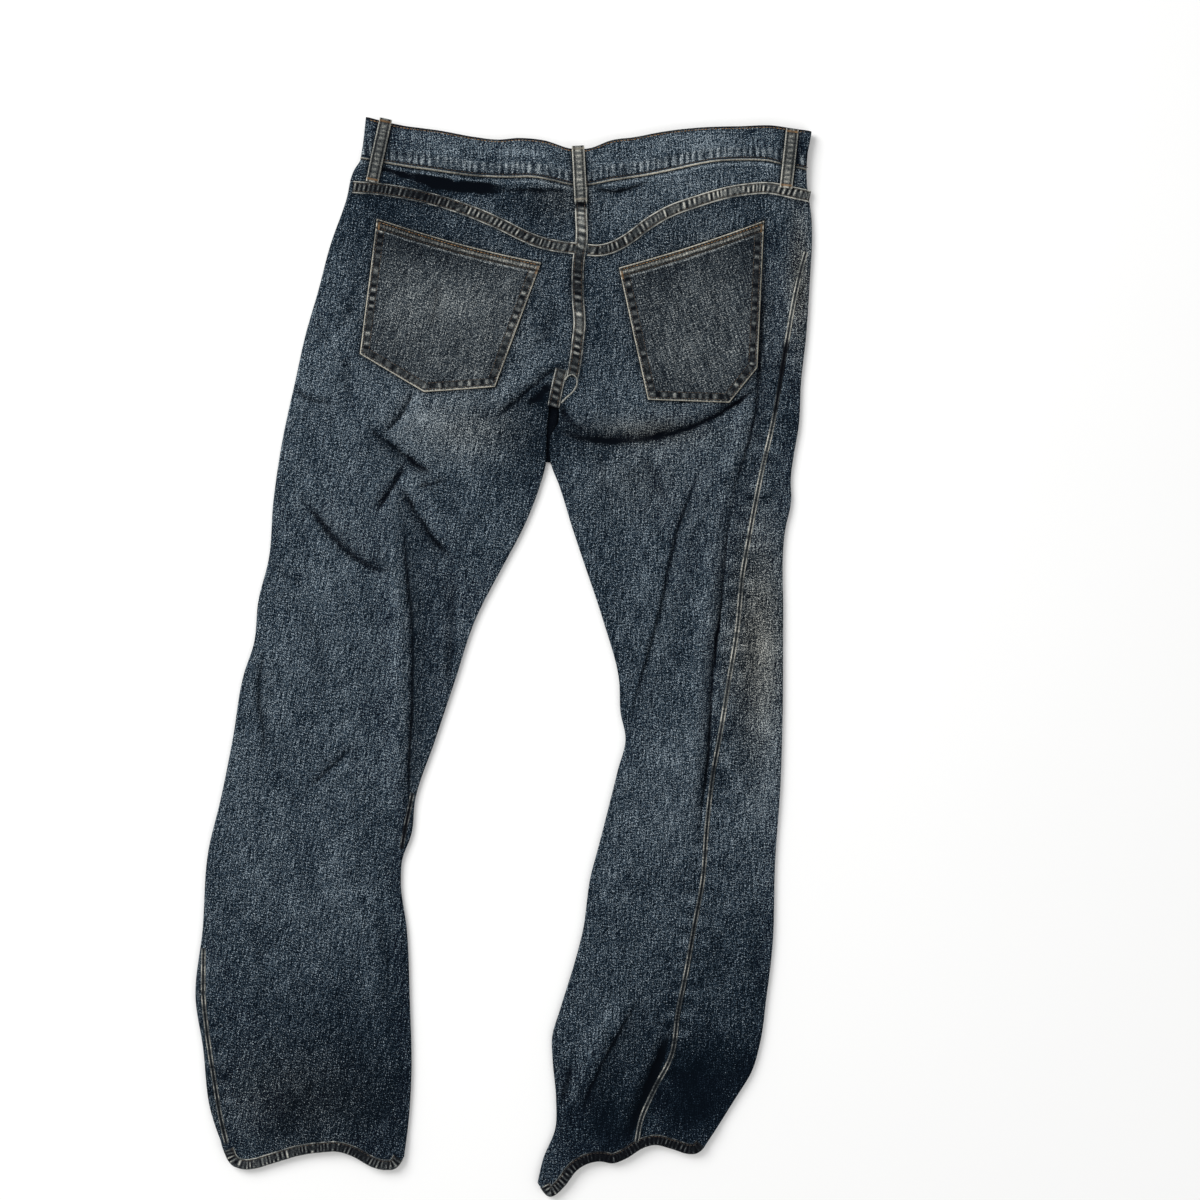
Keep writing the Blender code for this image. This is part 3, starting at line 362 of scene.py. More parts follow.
def layers(across, down):
    # the laid garment at places on the mat: under face, top face, how far the wall leans sideways,
    # and the folds' painted shade and their tone, paler on high places as wear and darker in hollows as
    # painted shade, above and beneath
    across, down = np.asarray(across, float), np.asarray(down, float)
    inLeft, inRight = innerOf(innerLeft, down), innerOf(innerRight, down)
    left = across <= (inLeft + inRight) / 2
    outer = np.maximum(np.where(left, across - outerLeft(down), outerRight(down) - across), 0)
    inner = np.maximum(np.where(left, inLeft - across, across - inRight), 0)
    start, over = cloth["parting"]
    parted = smooth((down - start) / over)

    band = 1 - smooth((down - waistSeam(across)) / cloth["bandFade"])
    hemEdge = np.where(across < 475, hemLeft(across), hemRight(across))
    hem = smooth((down - hemEdge + cloth["hemDepth"]) / cloth["hemFade"] + 1)
    radius = mixed(cloth["bend"], cloth["thickBend"], np.maximum(band, hem))
    under = cloth["frontLift"] * (1 - smooth((down - frontSeam(across) - 14) / 30))
    thick, wall = (
        cloth[plain] + (cloth[atBand] - cloth[plain]) * band + (cloth[atHem] - cloth[plain]) * hem
        for plain, atBand, atHem in (("thick", "bandThick", "hemThick"), ("denim", "bandWall", "hemWall")))

    outerTurn, innerTurn = (1 - np.clip(distance / radius, 0, 1) for distance in (outer, inner))
    innerTurn = innerTurn * parted
    turn = np.maximum(outerTurn, innerTurn)
    roll = np.sqrt(1 - turn**2)
    swell = smooth((outer - radius) / cloth["edgeSwell"])
    swell = swell * mixed(1, smooth((inner - radius) / cloth["edgeSwell"]), parted)
    top = under + radius * (1 + roll) + (thick - 2 * radius) * swell

    # a crease goes down no further than the layer beneath
    room = np.maximum(top - under - 2 * wall - 0.4, 0.05)
    clear = smooth((np.minimum(outer, np.where(parted > 0.02, inner, 99)) + 0.5) / cloth["creaseEnd"])
    added, shade = creased(creases, across, down)
    added += patches(swells, across, down)
    for size, height, seed in unevenness:
        added += height * softNoise(across, down * 0.7, size, seed)
    added = added * clear
    top = top + np.where(added < 0, room * np.tanh(added / room), added)
    pressed, hiddenShade = creased(hiddenCreases, across, down)
    apart = cloth["gap"] / 2 * turn
    lean = turn * np.where((outerTurn > innerTurn) == left, -1.0, 1.0)
    under = under + radius * (1 - roll) - apart
    # paler on high places as wear, darker in the hollows as painted shade
    worn = cloth["creaseWearAndShade"] * np.tanh(added / 2.0)
    return under - pressed * clear, top + apart, lean, (shade, worn), (hiddenShade, 0 * worn)


def facesAt(across, down, beneath, wall):
    # (outer points, inner points, fold) of a wall at places on the mat, on the top face or beneath.
    # A fold is each place's painted shade, and its tone from wear on high places and from painted shade in
    # hollows
    under, top, lean, fold, hiddenFold = layers(across, down)
    outside = placed(across, down, np.where(beneath, under, top))
    out = placed(lean, 0.0, np.sqrt(1 - lean**2) * np.where(beneath, -1.0, 1.0))
    fold = [np.where(beneath, there, here) for here, there in zip(fold, hiddenFold)]
    return outside, outside - wall * out, fold


washAndPaintedLight = {
    # the cloth's own fading and, on top, painted light and shade of its folds and edges: across, down, half
    # width, half length, how much paler, or darker as a minus
    "top": [
        (450, 150, 90, 20, 0.09), (690, 142, 90, 20, 0.14), (690, 182, 70, 20, 0.19),
        (425, 192, 60, 14, -0.3), (525, 206, 36, 12, -0.22), (415, 420, 30, 26, 0.04),
        (615, 214, 26, 12, 0.07), (335, 350, 14, 40, 0.06), (285, 690, 16, 60, 0.06),
        (748, 810, 24, 50, 0.08), (548, 430, 16, 34, -0.14), (585, 446, 36, 18, -0.12),
        (530, 405, 24, 20, -0.06), (767, 640, 17, 90, 0.14), (765, 720, 18, 70, 0.08),
        (430, 640, 20, 90, -0.10), (330, 330, 24, 70, -0.02), (400, 990, 14, 110, -0.2),
        (310, 1115, 110, 40, -0.3), (380, 1090, 40, 70, -0.12), (690, 1090, 80, 70, -0.5),
        (595, 1130, 50, 60, -0.34), (640, 960, 90, 60, -0.06), (690, 640, 24, 80, -0.03),
        (665, 760, 24, 80, 0.05), (705, 480, 26, 40, 0.05), (560, 350, 16, 30, -0.05),
        (765, 350, 8, 60, -0.05), (605, 600, 14, 60, -0.05), (780, 930, 20, 100, -0.08),
        (245, 1000, 24, 90, 0.03), (450, 480, 60, 20, -0.03), (490, 520, 30, 40, 0.02),
        (640, 760, 18, 70, -0.05), (580, 500, 16, 40, -0.04), (380, 150, 22, 36, -0.14),
        (395, 222, 56, 26, -0.25), (360, 262, 26, 30, -0.06), (480, 150, 40, 14, 0.05),
        (450, 305, 46, 30, 0.09), (330, 355, 26, 50, 0.05), (522, 345, 16, 22, 0.13),
        (430, 420, 34, 26, 0.18), (475, 392, 34, 16, 0.1), (448, 460, 24, 16, 0.1), (318, 590, 16, 50, 0.1),
        (255, 760, 40, 70, 0.04), (350, 1030, 50, 50, -0.2), (240, 1010, 50, 70, -0.14),
        (245, 1112, 20, 22, 0.26), (650, 285, 30, 20, -0.12), (602, 252, 22, 20, -0.12),
        (793, 315, 6, 26, 0.26), (806, 280, 6, 50, 0.1), (752, 235, 12, 36, -0.13),
        (790, 430, 10, 70, -0.08), (769, 770, 12, 80, 0.12), (670, 452, 50, 14, 0.06),
        (622, 850, 16, 50, 0.06), (612, 1015, 20, 24, 0.14), (725, 960, 46, 50, -0.1),
        (538, 460, 24, 30, -0.14), (500, 486, 30, 26, -0.06), (395, 780, 12, 90, -0.07),
        (405, 850, 5, 40, -0.12), (620, 710, 8, 40, -0.08), (790, 150, 12, 20, -0.1),
        (578, 255, 16, 16, -0.06), (432, 250, 40, 22, -0.12), (536, 238, 18, 14, -0.12),
        (722, 262, 18, 30, -0.1), (645, 350, 18, 26, -0.08), (505, 408, 24, 16, -0.08),
        (418, 396, 34, 10, 0.1), (350, 385, 20, 24, 0.09), (806, 222, 6, 20, 0.12),
        (596, 152, 16, 10, 0.08), (545, 150, 24, 8, 0.1), (803, 162, 10, 24, -0.12),
        (298, 350, 14, 60, 0.09), (282, 430, 14, 60, 0.08), (228, 740, 16, 80, 0.06),
        (766, 330, 6, 20, 0.08), (742, 560, 16, 70, -0.1), (758, 980, 10, 70, -0.12),
        (541, 398, 9, 9, -0.35), (575, 424, 18, 14, -0.14), (625, 425, 36, 6, 0.12),
        (603, 305, 16, 26, -0.12), (580, 286, 14, 14, -0.14), (515, 230, 22, 12, -0.1),
        (715, 740, 8, 60, -0.08), (796, 400, 6, 60, -0.1), (360, 1150, 40, 14, -0.1),
        (625, 930, 34, 60, -0.06), (746, 1060, 14, 60, -0.16), (385, 385, 30, 12, 0.08),
        (425, 472, 16, 14, 0.08), (305, 560, 18, 40, 0.07), (345, 815, 30, 20, 0.05),
        (758, 900, 16, 30, 0.08), (735, 140, 40, 14, 0.07), (505, 150, 26, 10, 0.07),
        (650, 240, 24, 12, -0.1),
    ],
    "beneath": [
        (360, 600, 50, 160, 0.12), (680, 600, 50, 160, 0.12), (330, 760, 50, 80, 0.06),
        (660, 760, 50, 80, 0.06), (300, 1090, 110, 60, -0.16), (650, 1090, 110, 60, -0.16),
        (520, 300, 60, 50, 0.04),
    ],
    # where the washed cloth is tan-grey rather than blue
    "tan": [
        (450, 310, 70, 60, 0.4), (700, 310, 60, 70, 0.4), (757, 640, 30, 110, 0.65),
        (470, 430, 60, 30, 0.3), (300, 1100, 80, 50, 0.3), (650, 432, 60, 14, 0.35),
        (640, 480, 50, 40, 0.15), (560, 200, 30, 20, 0.3), (800, 280, 12, 70, 0.6),
    ],
    "lumps": [(0.045, 34.0, 11), (0.025, 12.0, 12)],     # soft unevenness: how much, size, seed
    "plainBelow": -0.3,       # where the fading and painted shade make it darker than this, the yarns hardly show
    "tanBeneath": 0.2,        # how much of the tan is left beneath
    "weaveBeneath": 900.0,    # how far along the weave the hidden side's cloth lies
}


def marksAt(across, down, beneath, fold, turn=0.0):
    # what the denim's material reads at each point: how pale, from fading, wear and painted light and shade,
    # how shaded by painted shade, how tan, how plain its yarns are, and the weave's own place
    tone = np.where(beneath, patches(washAndPaintedLight["beneath"], across, down), patches(washAndPaintedLight["top"], across, down))
    for much, size, seed in washAndPaintedLight["lumps"]:
        tone = tone + much * softNoise(across, down, size, seed)
    tone = tone + fold[1]
    along = across * math.sin(turn) + down * math.cos(turn)
    beside = across * math.cos(turn) - down * math.sin(turn)
    tan = patches(washAndPaintedLight["tan"], across, down) * np.where(beneath, washAndPaintedLight["tanBeneath"], 1.0)
    plain = 0.6 * smooth((washAndPaintedLight["plainBelow"] - tone) / 0.22)
    weave = placed(beside, along + np.where(beneath, washAndPaintedLight["weaveBeneath"], 0.0), 0.0)
    return {"tone": tone + 0.13 * plain, "shade": fold[0], "tan": tan, "plain": plain, "weave": weave}


def besideEdges(across, down, edges):
    # the shadow beside what lies on the cloth: (route along its edge, how dark, how far out)
    shade = np.zeros(np.shape(across))
    for route, dark, reach in edges:
        distance = np.abs(fromRoute(route, across, down, 6 * reach)[0])
        shade = np.maximum(shade, dark * np.exp(-((distance / reach) ** 1.3)))
    return shade


class Wire:
    # a node's output. Python's own arithmetic on it adds Math nodes
    def __init__(self, paint, socket):
        self.paint = paint
        self.socket = socket

    def math(self, operation, *inputs):
        return self.paint.node("ShaderNodeMath", {"operation": operation}, dict(enumerate(inputs)))

    def __add__(self, other):
        return self.math("ADD", self, other)

    def __sub__(self, other):
        return self.math("SUBTRACT", self, other)

    def __rsub__(self, other):
        return self.math("SUBTRACT", other, self)

    def __mul__(self, other):
        return self.math("MULTIPLY", self, other)

    def between(self, low, high):
        # 0 below low and 1 above high
        ends = {"Value": self, "From Min": low, "From Max": high}
        return self.paint.node("ShaderNodeMapRange", {"interpolation_type": "SMOOTHSTEP"}, ends)


class Paint:
    # one material. "constants" are the numbers that are the same all over it
    def __init__(self, name, **constants):
        self.material = bpy.data.materials.new(name)
        self.material.use_nodes = True
        self.tree = self.material.node_tree
        self.shader = self.tree.nodes["Principled BSDF"]
        self.finish(**constants)

    def node(self, kind, settings=None, inputs=None, output=0):
        made = self.tree.nodes.new(kind)
        for setting, value in (settings or {}).items():
            if setting == "stops":
                self.setStops(made.color_ramp, value)
            else:
                setattr(made, setting, value)
        for socket, value in (inputs or {}).items():
            self.plug(made.inputs[socket], value)
        return Wire(self, made.outputs[output])

    def plug(self, socket, value):
        if isinstance(value, Wire):
            self.tree.links.new(value.socket, socket)
        else:
            socket.default_value = value

    def setStops(self, ramp, stops):
        for i, (place, colour) in enumerate(stops):
            stop = ramp.elements[i] if i < 2 else ramp.elements.new(place)
            stop.position = place
            stop.color = (*colour, 1)

    def mark(self, name, output="Fac"):
        return self.node("ShaderNodeAttribute", {"attribute_name": name}, output=output)

    def place(self):
        return self.node("ShaderNodeTexCoord", output="Object")

    def noise(self, vector, turn, size, detail=1.0, roughness=0.5):
        # lumps of that size (across, along), in a pattern that is turned
        turned = {"Vector": vector, "Rotation": (0, 0, turn), "Scale": (*size, 1)}
        lumps = self.node("ShaderNodeMapping", {"vector_type": "TEXTURE"}, turned)
        inputs = {"Vector": lumps, "Scale": 1.0, "Detail": detail, "Roughness": roughness}
        return self.node("ShaderNodeTexNoise", {}, inputs)

    def ramp(self, factor, stops):
        return self.node("ShaderNodeValToRGB", {"stops": stops}, {"Fac": factor})

    def mix(self, factor, first, second):
        return self.node("ShaderNodeMix", {"data_type": "RGBA"}, {0: factor, 6: first, 7: second}, output=2)

    def bump(self, height, strength, distance):
        return self.node("ShaderNodeBump", {}, {"Height": height, "Strength": strength, "Distance": distance})

    def finish(self, **inputs):
        for socket, value in inputs.items():
            self.plug(self.shader.inputs[socket.replace("_", " ")], value)
        return self.material


denimLook = {
    "blue": [
        (0.0, (0.002, 0.004, 0.007)), (0.3, (0.008, 0.015, 0.025)), (0.5, (0.029, 0.050, 0.074)),
        (0.72, (0.090, 0.127, 0.160)), (1.0, (0.38, 0.44, 0.48))],
    "tan": [
        (0.0, (0.004, 0.004, 0.005)), (0.3, (0.015, 0.016, 0.016)), (0.5, (0.058, 0.060, 0.056)),
        (0.72, (0.17, 0.168, 0.148)), (1.0, (0.56, 0.53, 0.44))],
    # the near-black that painted shade blends towards
    "crease": (0.002, 0.003, 0.005, 1),
    "level": 0.235,           # how pale it is in all
    "speck": 3.2,             # contrast of the yarns' pale specks
    "twill": 1.8,
    "slub": 0.9,              # thick stretches of yarn across
    "warp": 1.215,            # and along
    "cloud": 0.26,            # mottling
}
# as the pockets, loops and bands are worn
wornLook = {
    **denimLook, "level": 0.355, "speck": 2.4, "twill": 1.35, "slub": 0.7, "warp": 0.945, "cloud": 0.24,
}


def denimPaint(name, look):
    paint = Paint(name, Specular_IOR_Level=0.01, Sheen_Weight=0.01, Sheen_Roughness=0.5)
    weave = paint.mark("weave", "Vector")
    twill = paint.noise(weave, -0.95, (0.65, 2.2), 0.0)
    specks = paint.noise(weave, 0.0, (0.78, 0.84))
    slubs = paint.noise(weave, 0.05, (9.0, 0.9))
    warps = paint.noise(weave, 0.02, (0.9, 20.0))
    clouds = paint.noise(weave, 0.4, (21.0, 34.0), 2.0, 0.4)
    yarns = (twill - 0.5) * look["twill"] + (specks - 0.5) * look["speck"]
    yarns = yarns + (slubs - 0.5) * look["slub"] + (warps - 0.5) * look["warp"]
    tone = paint.mark("tone") + (clouds - 0.5) * look["cloud"]
    value = tone + look["level"] + yarns * (1 - paint.mark("plain") * 0.75)
    colour = paint.mix(paint.mark("tan"), paint.ramp(value, look["blue"]), paint.ramp(value, look["tan"]))
    # painted shade: towards near-black where the shade mark says
    colour = paint.mix(paint.mark("shade"), colour, look["crease"])
    bumped = paint.bump(yarns, 0.35, 0.0005)
    return paint.finish(Base_Color=colour, Roughness=0.97 - value * 0.12, Normal=bumped)


def threadPaint(name, dark, pale):
    # a twisted sewing thread, duller where it is worn
    paint = Paint(name, Roughness=0.75, Specular_IOR_Level=0.3, Sheen_Weight=0.1)
    worn = paint.noise(paint.place(), 0.0, (0.006, 0.006), 2.0)
    twist = paint.noise(paint.place(), 0.6, (0.0012, 0.0007), 0.0)
    colour = paint.mix(worn.between(0.3, 0.7), (*dark, 1), (*pale, 1))
    return paint.finish(Base_Color=colour, Normal=paint.bump(twist, 0.4, 0.0002))


def copperPaint(name):
    paint = Paint(name, Metallic=1.0)
    worn = paint.noise(paint.place(), 0.0, (0.004, 0.004), 3.0)
    colour = paint.mix(worn.between(0.35, 0.65), (0.12, 0.075, 0.045, 1), (0.42, 0.26, 0.15, 1))
    return paint.finish(Base_Color=colour, Roughness=worn * 0.3 + 0.3, Normal=paint.bump(worn, 0.2, 0.0003))


washedDenim = denimPaint("washedDenim", denimLook)
wornDenim = denimPaint("wornDenim", wornLook)
threads = {
    # each thread's dark and pale colour
    "pale": ((0.16, 0.145, 0.115), (0.44, 0.40, 0.32)),
    "brown": ((0.015, 0.012, 0.010), (0.10, 0.07, 0.045)),
    "orange": ((0.10, 0.055, 0.022), (0.36, 0.20, 0.08)),
}
threadPaints = {colour: threadPaint(colour + "Thread", *look) for colour, look in threads.items()}
agedCopper = copperPaint("agedCopper")
print("materials ready")


def addPiece(name, points, faces, material, marks=None):
    mesh = bpy.data.meshes.new(name)
    mesh.from_pydata(toFrame(points).tolist(), [], faces.tolist())
    mesh.shade_smooth()
    for mark, values in (marks or {}).items():
        isVector = values.ndim > 1
        layer = mesh.attributes.new(mark, "FLOAT_VECTOR" if isVector else "FLOAT", "POINT")
        layer.data.foreach_set("vector" if isVector else "value", values.astype(np.float32).ravel())
    mesh.materials.append(material)
    piece = bpy.data.objects.new(name, mesh)
    bpy.context.scene.collection.objects.link(piece)
    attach(piece, "root")
    return piece


def quads(grid):
    return np.stack([grid[:-1, :-1], grid[:-1, 1:], grid[1:, 1:], grid[1:, :-1]], axis=-1)


def around(grid):
    return np.concatenate([grid[0, :-1], grid[:-1, -1], grid[-1, :0:-1], grid[:0:-1, 0]])


def shell(name, outside, inside, material, marks, turnedIn=3):
    # a wall: its outer face, its rim, and its inner face for a few cells in from the rim
    rows, columns = outside.shape[:2]
    outer = np.arange(rows * columns).reshape(rows, columns)
    inner = outer + rows * columns
    shown = np.ones((rows - 1, columns - 1), bool)
    shown[turnedIn:-turnedIn, turnedIn:-turnedIn] = False
    rim = placed(around(outer), around(inner), np.roll(around(inner), -1), np.roll(around(outer), -1))
    faces = np.concatenate([quads(outer).reshape(-1, 4), quads(inner)[shown][:, ::-1], rim])
    points = np.concatenate([outside.reshape(-1, 3), inside.reshape(-1, 3)])

    # the faces look outwards
    at = toFrame(points)
    a, b, c = quads(outer).reshape(-1, 4)[:, :3].T
    if (np.cross(at[b] - at[a], at[c] - at[a]) * (at[a] - at[a + rows * columns])).sum() < 0:
        faces = faces[:, ::-1]

    used, faces = np.unique(faces, return_inverse=True)
    kept = {}
    for mark, values in marks.items():
        flat = (np.zeros((rows, columns, 1)) + np.atleast_3d(values)).reshape(rows * columns, -1)
        kept[mark] = np.concatenate([flat, flat])[used].squeeze()
    return addPiece(name, points[used], faces.reshape(-1, 4), material, kept)


def asCloth(piece, node, slot, flat, area, restsOn):
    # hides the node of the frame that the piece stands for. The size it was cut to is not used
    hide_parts(node)
    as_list(restsOn)


legs = {
    "left": {
        "outer": outerLeft, "inner": innerLeft, "hem": hemLeft, "yoke": yokeLeft,
        "outseam": outseamLeftIn, "inseam": noInseamIn, "weave": -0.175,
        "waist": (156.0, 183.5), "seam": (182.5, 244.0), "end": (1146.0, 1157.0),
        "mouthEnd": 262.0, "flyEnd": 363.0,
    },
    "right": {
        "outer": outerRight, "inner": innerRight, "hem": hemRight, "yoke": yokeRight,
        "outseam": outseamRightIn, "inseam": inseamRightIn, "weave": -0.05,
        "waist": (171.0, 183.5), "seam": (191.0, 244.0), "end": (1145.0, 1183.0),
        "mouthEnd": 270.0, "flyEnd": 363.0,
    },
    "partsAt": 0.1765,        # the share of a leg's rows at which the legs part
}
sides = ("left", "right")


def toGirth(inward):
    # the girth, along the cloth, of a place that far in from a turned edge
    bend = cloth["bend"]
    inward = np.asarray(inward, float)
    turned = bend * np.arccos(1 - np.clip(inward / bend, 0, 1))
    return np.where(inward < bend, turned, inward + bendLength)


def fromEdge(girth):
    # the reverse: how far in from a turned edge
    bend = cloth["bend"]
    turned = bend * (1 - np.cos(np.clip(girth / bend, 0, math.pi / 2)))
    return np.where(girth < math.pi / 2 * bend, turned, girth - bendLength)


def halfGap(inward):
    # a seam on a face has its gap across. At the garment's edge the gap is between the layers
    return cloth["gap"] / 2 * smooth(inward / 2.0)


class Leg:
    # One leg's laid tube. Girth runs along the cloth from the outer edge, over the top to the inner
    # edge at "whole", and on beneath. It is a minus beneath the outer edge.
    def __init__(self, side, outerDown, innerDown):
        self.shape = legs[side]
        self.outerDown, self.innerDown = outerDown, innerDown
        self.outerAt = self.shape["outer"](outerDown)
        self.innerAt = innerOf(self.shape["inner"], innerDown)
        self.width = np.abs(self.innerAt - self.outerAt)
        self.whole = self.width + 2 * bendLength
        self.outseam = np.maximum(self.shape["outseam"](outerDown), 0)
        self.inseam = np.maximum(self.shape["inseam"](innerDown), 0)
        self.joined = innerDown < cloth["crotch"] - 0.1

    def columns(self, start, end, count, beneathShare):
        # girths from start to end in each row: closer on top and at the turned edges
        found = []
        for a, b, whole in np.broadcast(start, end, self.whole):
            fine = np.linspace(a, b, 400)
            onTop = (fine > -4) & (fine < whole + 4)
            density = np.where(onTop, 1.0, beneathShare) + 1.2 * peak(fine, 3) + 1.2 * peak(fine - whole, 4)
            total = np.concatenate([[0], np.cumsum((density[1:] + density[:-1]) / 2)])
            found.append(np.interp(np.linspace(0, total[-1], count), total, fine))
        return np.array(found)

    def places(self, girth, lines=(None, None), settle=(60.0, 30.0)):
        # (across, down, beneath), with the first and last rows bent to meet the lines
        whole = self.whole[:, None]
        beneath = (girth <= 0) | (girth > whole)
        if girth[-1, -1] > 0:
            beneath &= girth != 0
        over = np.where(girth < 0, -girth, np.where(girth > whole, 2 * whole - girth, girth))
        shareOuter = fromEdge(over) / self.width[:, None]
        shareInner = 1 - fromEdge(whole - over) / self.width[:, None]
        share = np.where(over < whole / 2, shareOuter, shareInner)
        across = mixed(self.outerAt[:, None], self.innerAt[:, None], share)
        straight = mixed(self.outerDown[:, None], self.innerDown[:, None], share)
        down = straight.copy()
        share = (straight - straight[0]) / (straight[-1] - straight[0])
        for line, row, reach, rest in zip(lines, (0, -1), settle, (1 - share, share)):
            if line is not None:
                miss = line(across[row]) - straight[row]
                down = down + np.exp(-np.abs(straight - straight[row]) / reach) * rest * miss
        return across, down, beneath


def legDowns(side, rows):
    # how far down each row is, at the outer and at the inner edge. One row meets the crotch
    parts = legs["partsAt"]
    shares = np.concatenate([np.linspace(0, parts, rows[0], endpoint=False), np.linspace(parts, 1, rows[1])])
    (outerStart, innerStart), (outerEnd, innerEnd) = legs[side]["seam"], legs[side]["end"]
    above = mixed(innerStart, cloth["crotch"], shares / parts)
    below = mixed(cloth["crotch"], innerEnd, (shares - parts) / (1 - parts))
    return mixed(outerStart, outerEnd, shares), np.where(shares < parts, above, below)


def hemWall(down, side):
    # the wall, thicker along the turned hem
    end = legs[side]["end"][0]
    return np.where(down > end - cloth["hemDepth"], cloth["hemWall"], cloth["denim"])[:, None, None]


seamLook = {
    "blots": 0.15, "near": 8, "width": 7,     # the blots: how strong, how far from the outseam, how wide
    "from": {"left": 950, "right": 330},      # how far down they begin to show
}


def seamTracks(side, across, down):
    # pale and dark blots beside an outseam on top, where the seam's edges wear from beneath
    inward = legs[side]["outseam"](down) * (1 if side == "left" else -1)
    distance = np.abs(across - legs[side]["outer"](down) - inward)
    blots = softNoise(across * 0.2, down, 8.0, 21)
    blots = blots + 0.6 * np.sin(down / 3.1 + 4 * softNoise(down, 0, 40.0, 22))
    blots = seamLook["blots"] * blots * peak(distance - seamLook["near"], seamLook["width"])
    return blots * smooth((down - seamLook["from"][side]) / 60) * smooth((1135 - down) / 50)


panels = {
    "backRows": (88, 425),
    "backColumns": 170,
    "frontRows": {"left": (70, 240), "right": (80, 360)},
    "frontColumns": {"left": 56, "right": 92},
    "cut": {                  # what each piece was cut to: width, length, area in square metres
        "backLeft": (0.262, 1.004, 0.225), "backRight": (0.262, 1.010, 0.225),
        "frontLeft": (0.250, 1.010, 0.215), "frontRight": (0.300, 1.010, 0.240),
        "pocketFacing": (0.09, 0.11, 0.0070), "flyFlap": (0.04, 0.19, 0.0055),
    },
    "mouthWidth": 90.0,
    "flyWidth": 38.0,
    "facingTip": 0.9,
}
seamEdges = [
    # painted shadow beside the seat's felled seam and the crotch's: route, how dark, how far out
    (through(route, 6), dark, reach) for route, dark, reach in [
        ([(574, 190), (574, 208), (575, 243), (572, 258), (571, 300), (573, 324), (570, 357), (567, 377)],
         0.7, 2.0),
        ([(588, 190), (588, 243), (585, 258), (584.5, 300), (586, 324), (583, 357), (579.5, 377)], 0.7, 2.2),
        ([(555, 371), (552, 382), (550, 393), (547.5, 407)], 0.8, 2.2),
        ([(568, 371), (565, 382), (562, 393), (559, 407)], 0.8, 2.2),
    ]
]


def edgesOver(side):
    # the edges of what lies on a back panel, with the shadow beside each
    shape = pockets[side]
    share = np.linspace(0, 1, 12)
    hem = pocketTop(side, share)
    rest = np.array([hem[-1], *shape["low"][::-1], hem[0]], float)
    yoke = placed(shape["fell"], legs[side]["yoke"](shape["fell"]) + 12.4)
    return [(hem, 0.75, 2.2), (rest, 0.8, 2.4), (yoke, 0.7, 2.4)]


def panel(name, leg, girth, lines, wall, turn, dress, settle=(60.0, 30.0)):
    # a piece of a leg's tube. "dress" gives the tone and the shade that its upper side has besides
    across, down, beneath = leg.places(girth, lines, settle)
    outside, inside, fold = facesAt(across, down, beneath, wall)
    marks = marksAt(across, down, beneath, fold, turn)
    tone, shade = (np.where(beneath, 0, part) for part in dress(across, down))
    marks["tone"] += tone
    marks["shade"] = np.maximum(fold[0], shade)
    return shell(name, outside, inside, washedDenim, marks)


def bare(across, down):
    return 0, 0


def backPanel(side):
    shape = legs[side]
    leg = Leg(side, *legDowns(side, panels["backRows"]))
    start = toGirth(leg.outseam + halfGap(leg.outseam))
    seamEnd = leg.whole - toGirth(cloth["gap"] / 2)
    end = np.where(leg.joined, seamEnd, leg.whole + toGirth(np.maximum(leg.inseam - halfGap(leg.inseam), 0)))
    girth = leg.columns(start, end, panels["backColumns"], 0.35)
    edges = edgesOver(side) + seamEdges

    def dress(across, down):
        return seamTracks(side, across, down), besideEdges(across, down, edges)

    def yokeSeam(across):
        return shape["yoke"](across) + cloth["gap"] / 2

    name, lines = f"back{side.title()}Cloth", (yokeSeam, shape["hem"])
    return panel(name, leg, girth, lines, hemWall(leg.outerDown, side), shape["weave"], dress)


def frontDowns(side, rows):
    outer, inner = legDowns(side, rows)
    shape, yokeRows = legs[side], np.linspace(0, 1, 30)[:-1]
    waistDown = float(frontSeam(cloth["frontMiddle"]))
    outerFirst = mixed(shape["waist"][0], shape["seam"][0], yokeRows)
    innerFirst = mixed(waistDown, inner[0], yokeRows)
    return np.concatenate([outerFirst, outer]), np.concatenate([innerFirst, inner])


def openings(side, leg):
    # how far in the pocket's mouth and the fly's edge lie, for each row
    found = []
    for edge, downs in (("mouth", leg.outerDown), ("fly", leg.innerDown)):
        share = np.clip((downs - downs[0]) / (legs[side][edge + "End"] - downs[0]), 0, 1)
        found.append(panels[edge + "Width"] * np.sqrt(1 - share**2))
    return found


def hiddenLine(across):
    return frontSeam(across) + cloth["gap"] / 2


def frontPanel(side):
    # it lies beneath. Where the leg is turned, it comes round the outer edge to the outseam
    shape = legs[side]
    leg = Leg(side, *frontDowns(side, panels["frontRows"][side]))
    mouth, fly = openings(side, leg)
    onTop = toGirth(np.maximum(leg.outseam - halfGap(leg.outseam), 0))
    start = np.where(mouth > 0, -toGirth(mouth + cloth["gap"] / 2), onTop)
    inner = np.where(leg.joined, cloth["gap"] / 2, leg.inseam + halfGap(leg.inseam))
    if side == "left":
        besideFly = np.maximum(fly, panels["facingTip"]) + cloth["gap"]
        inner = np.where(leg.innerDown < shape["flyEnd"], besideFly, inner)
    girth = leg.columns(start, -(leg.whole - toGirth(inner)), panels["frontColumns"][side], 0.3)

    def dress(across, down):
        return seamTracks(side, across, down), besideEdges(across, down, seamEdges)

    name, lines = f"front{side.title()}Cloth", (hiddenLine, shape["hem"])
    return panel(name, leg, girth, lines, hemWall(leg.outerDown, side), shape["weave"], dress)


def upperFront(side, rows, edge):
    # the uppermost rows of a front, down to an opening's end
    outer, inner = frontDowns(side, (rows, 40))
    downs = outer if edge == "mouth" else inner
    count = int(np.searchsorted(downs, legs[side][edge + "End"])) + 1
    return Leg(side, outer[:count], inner[:count])


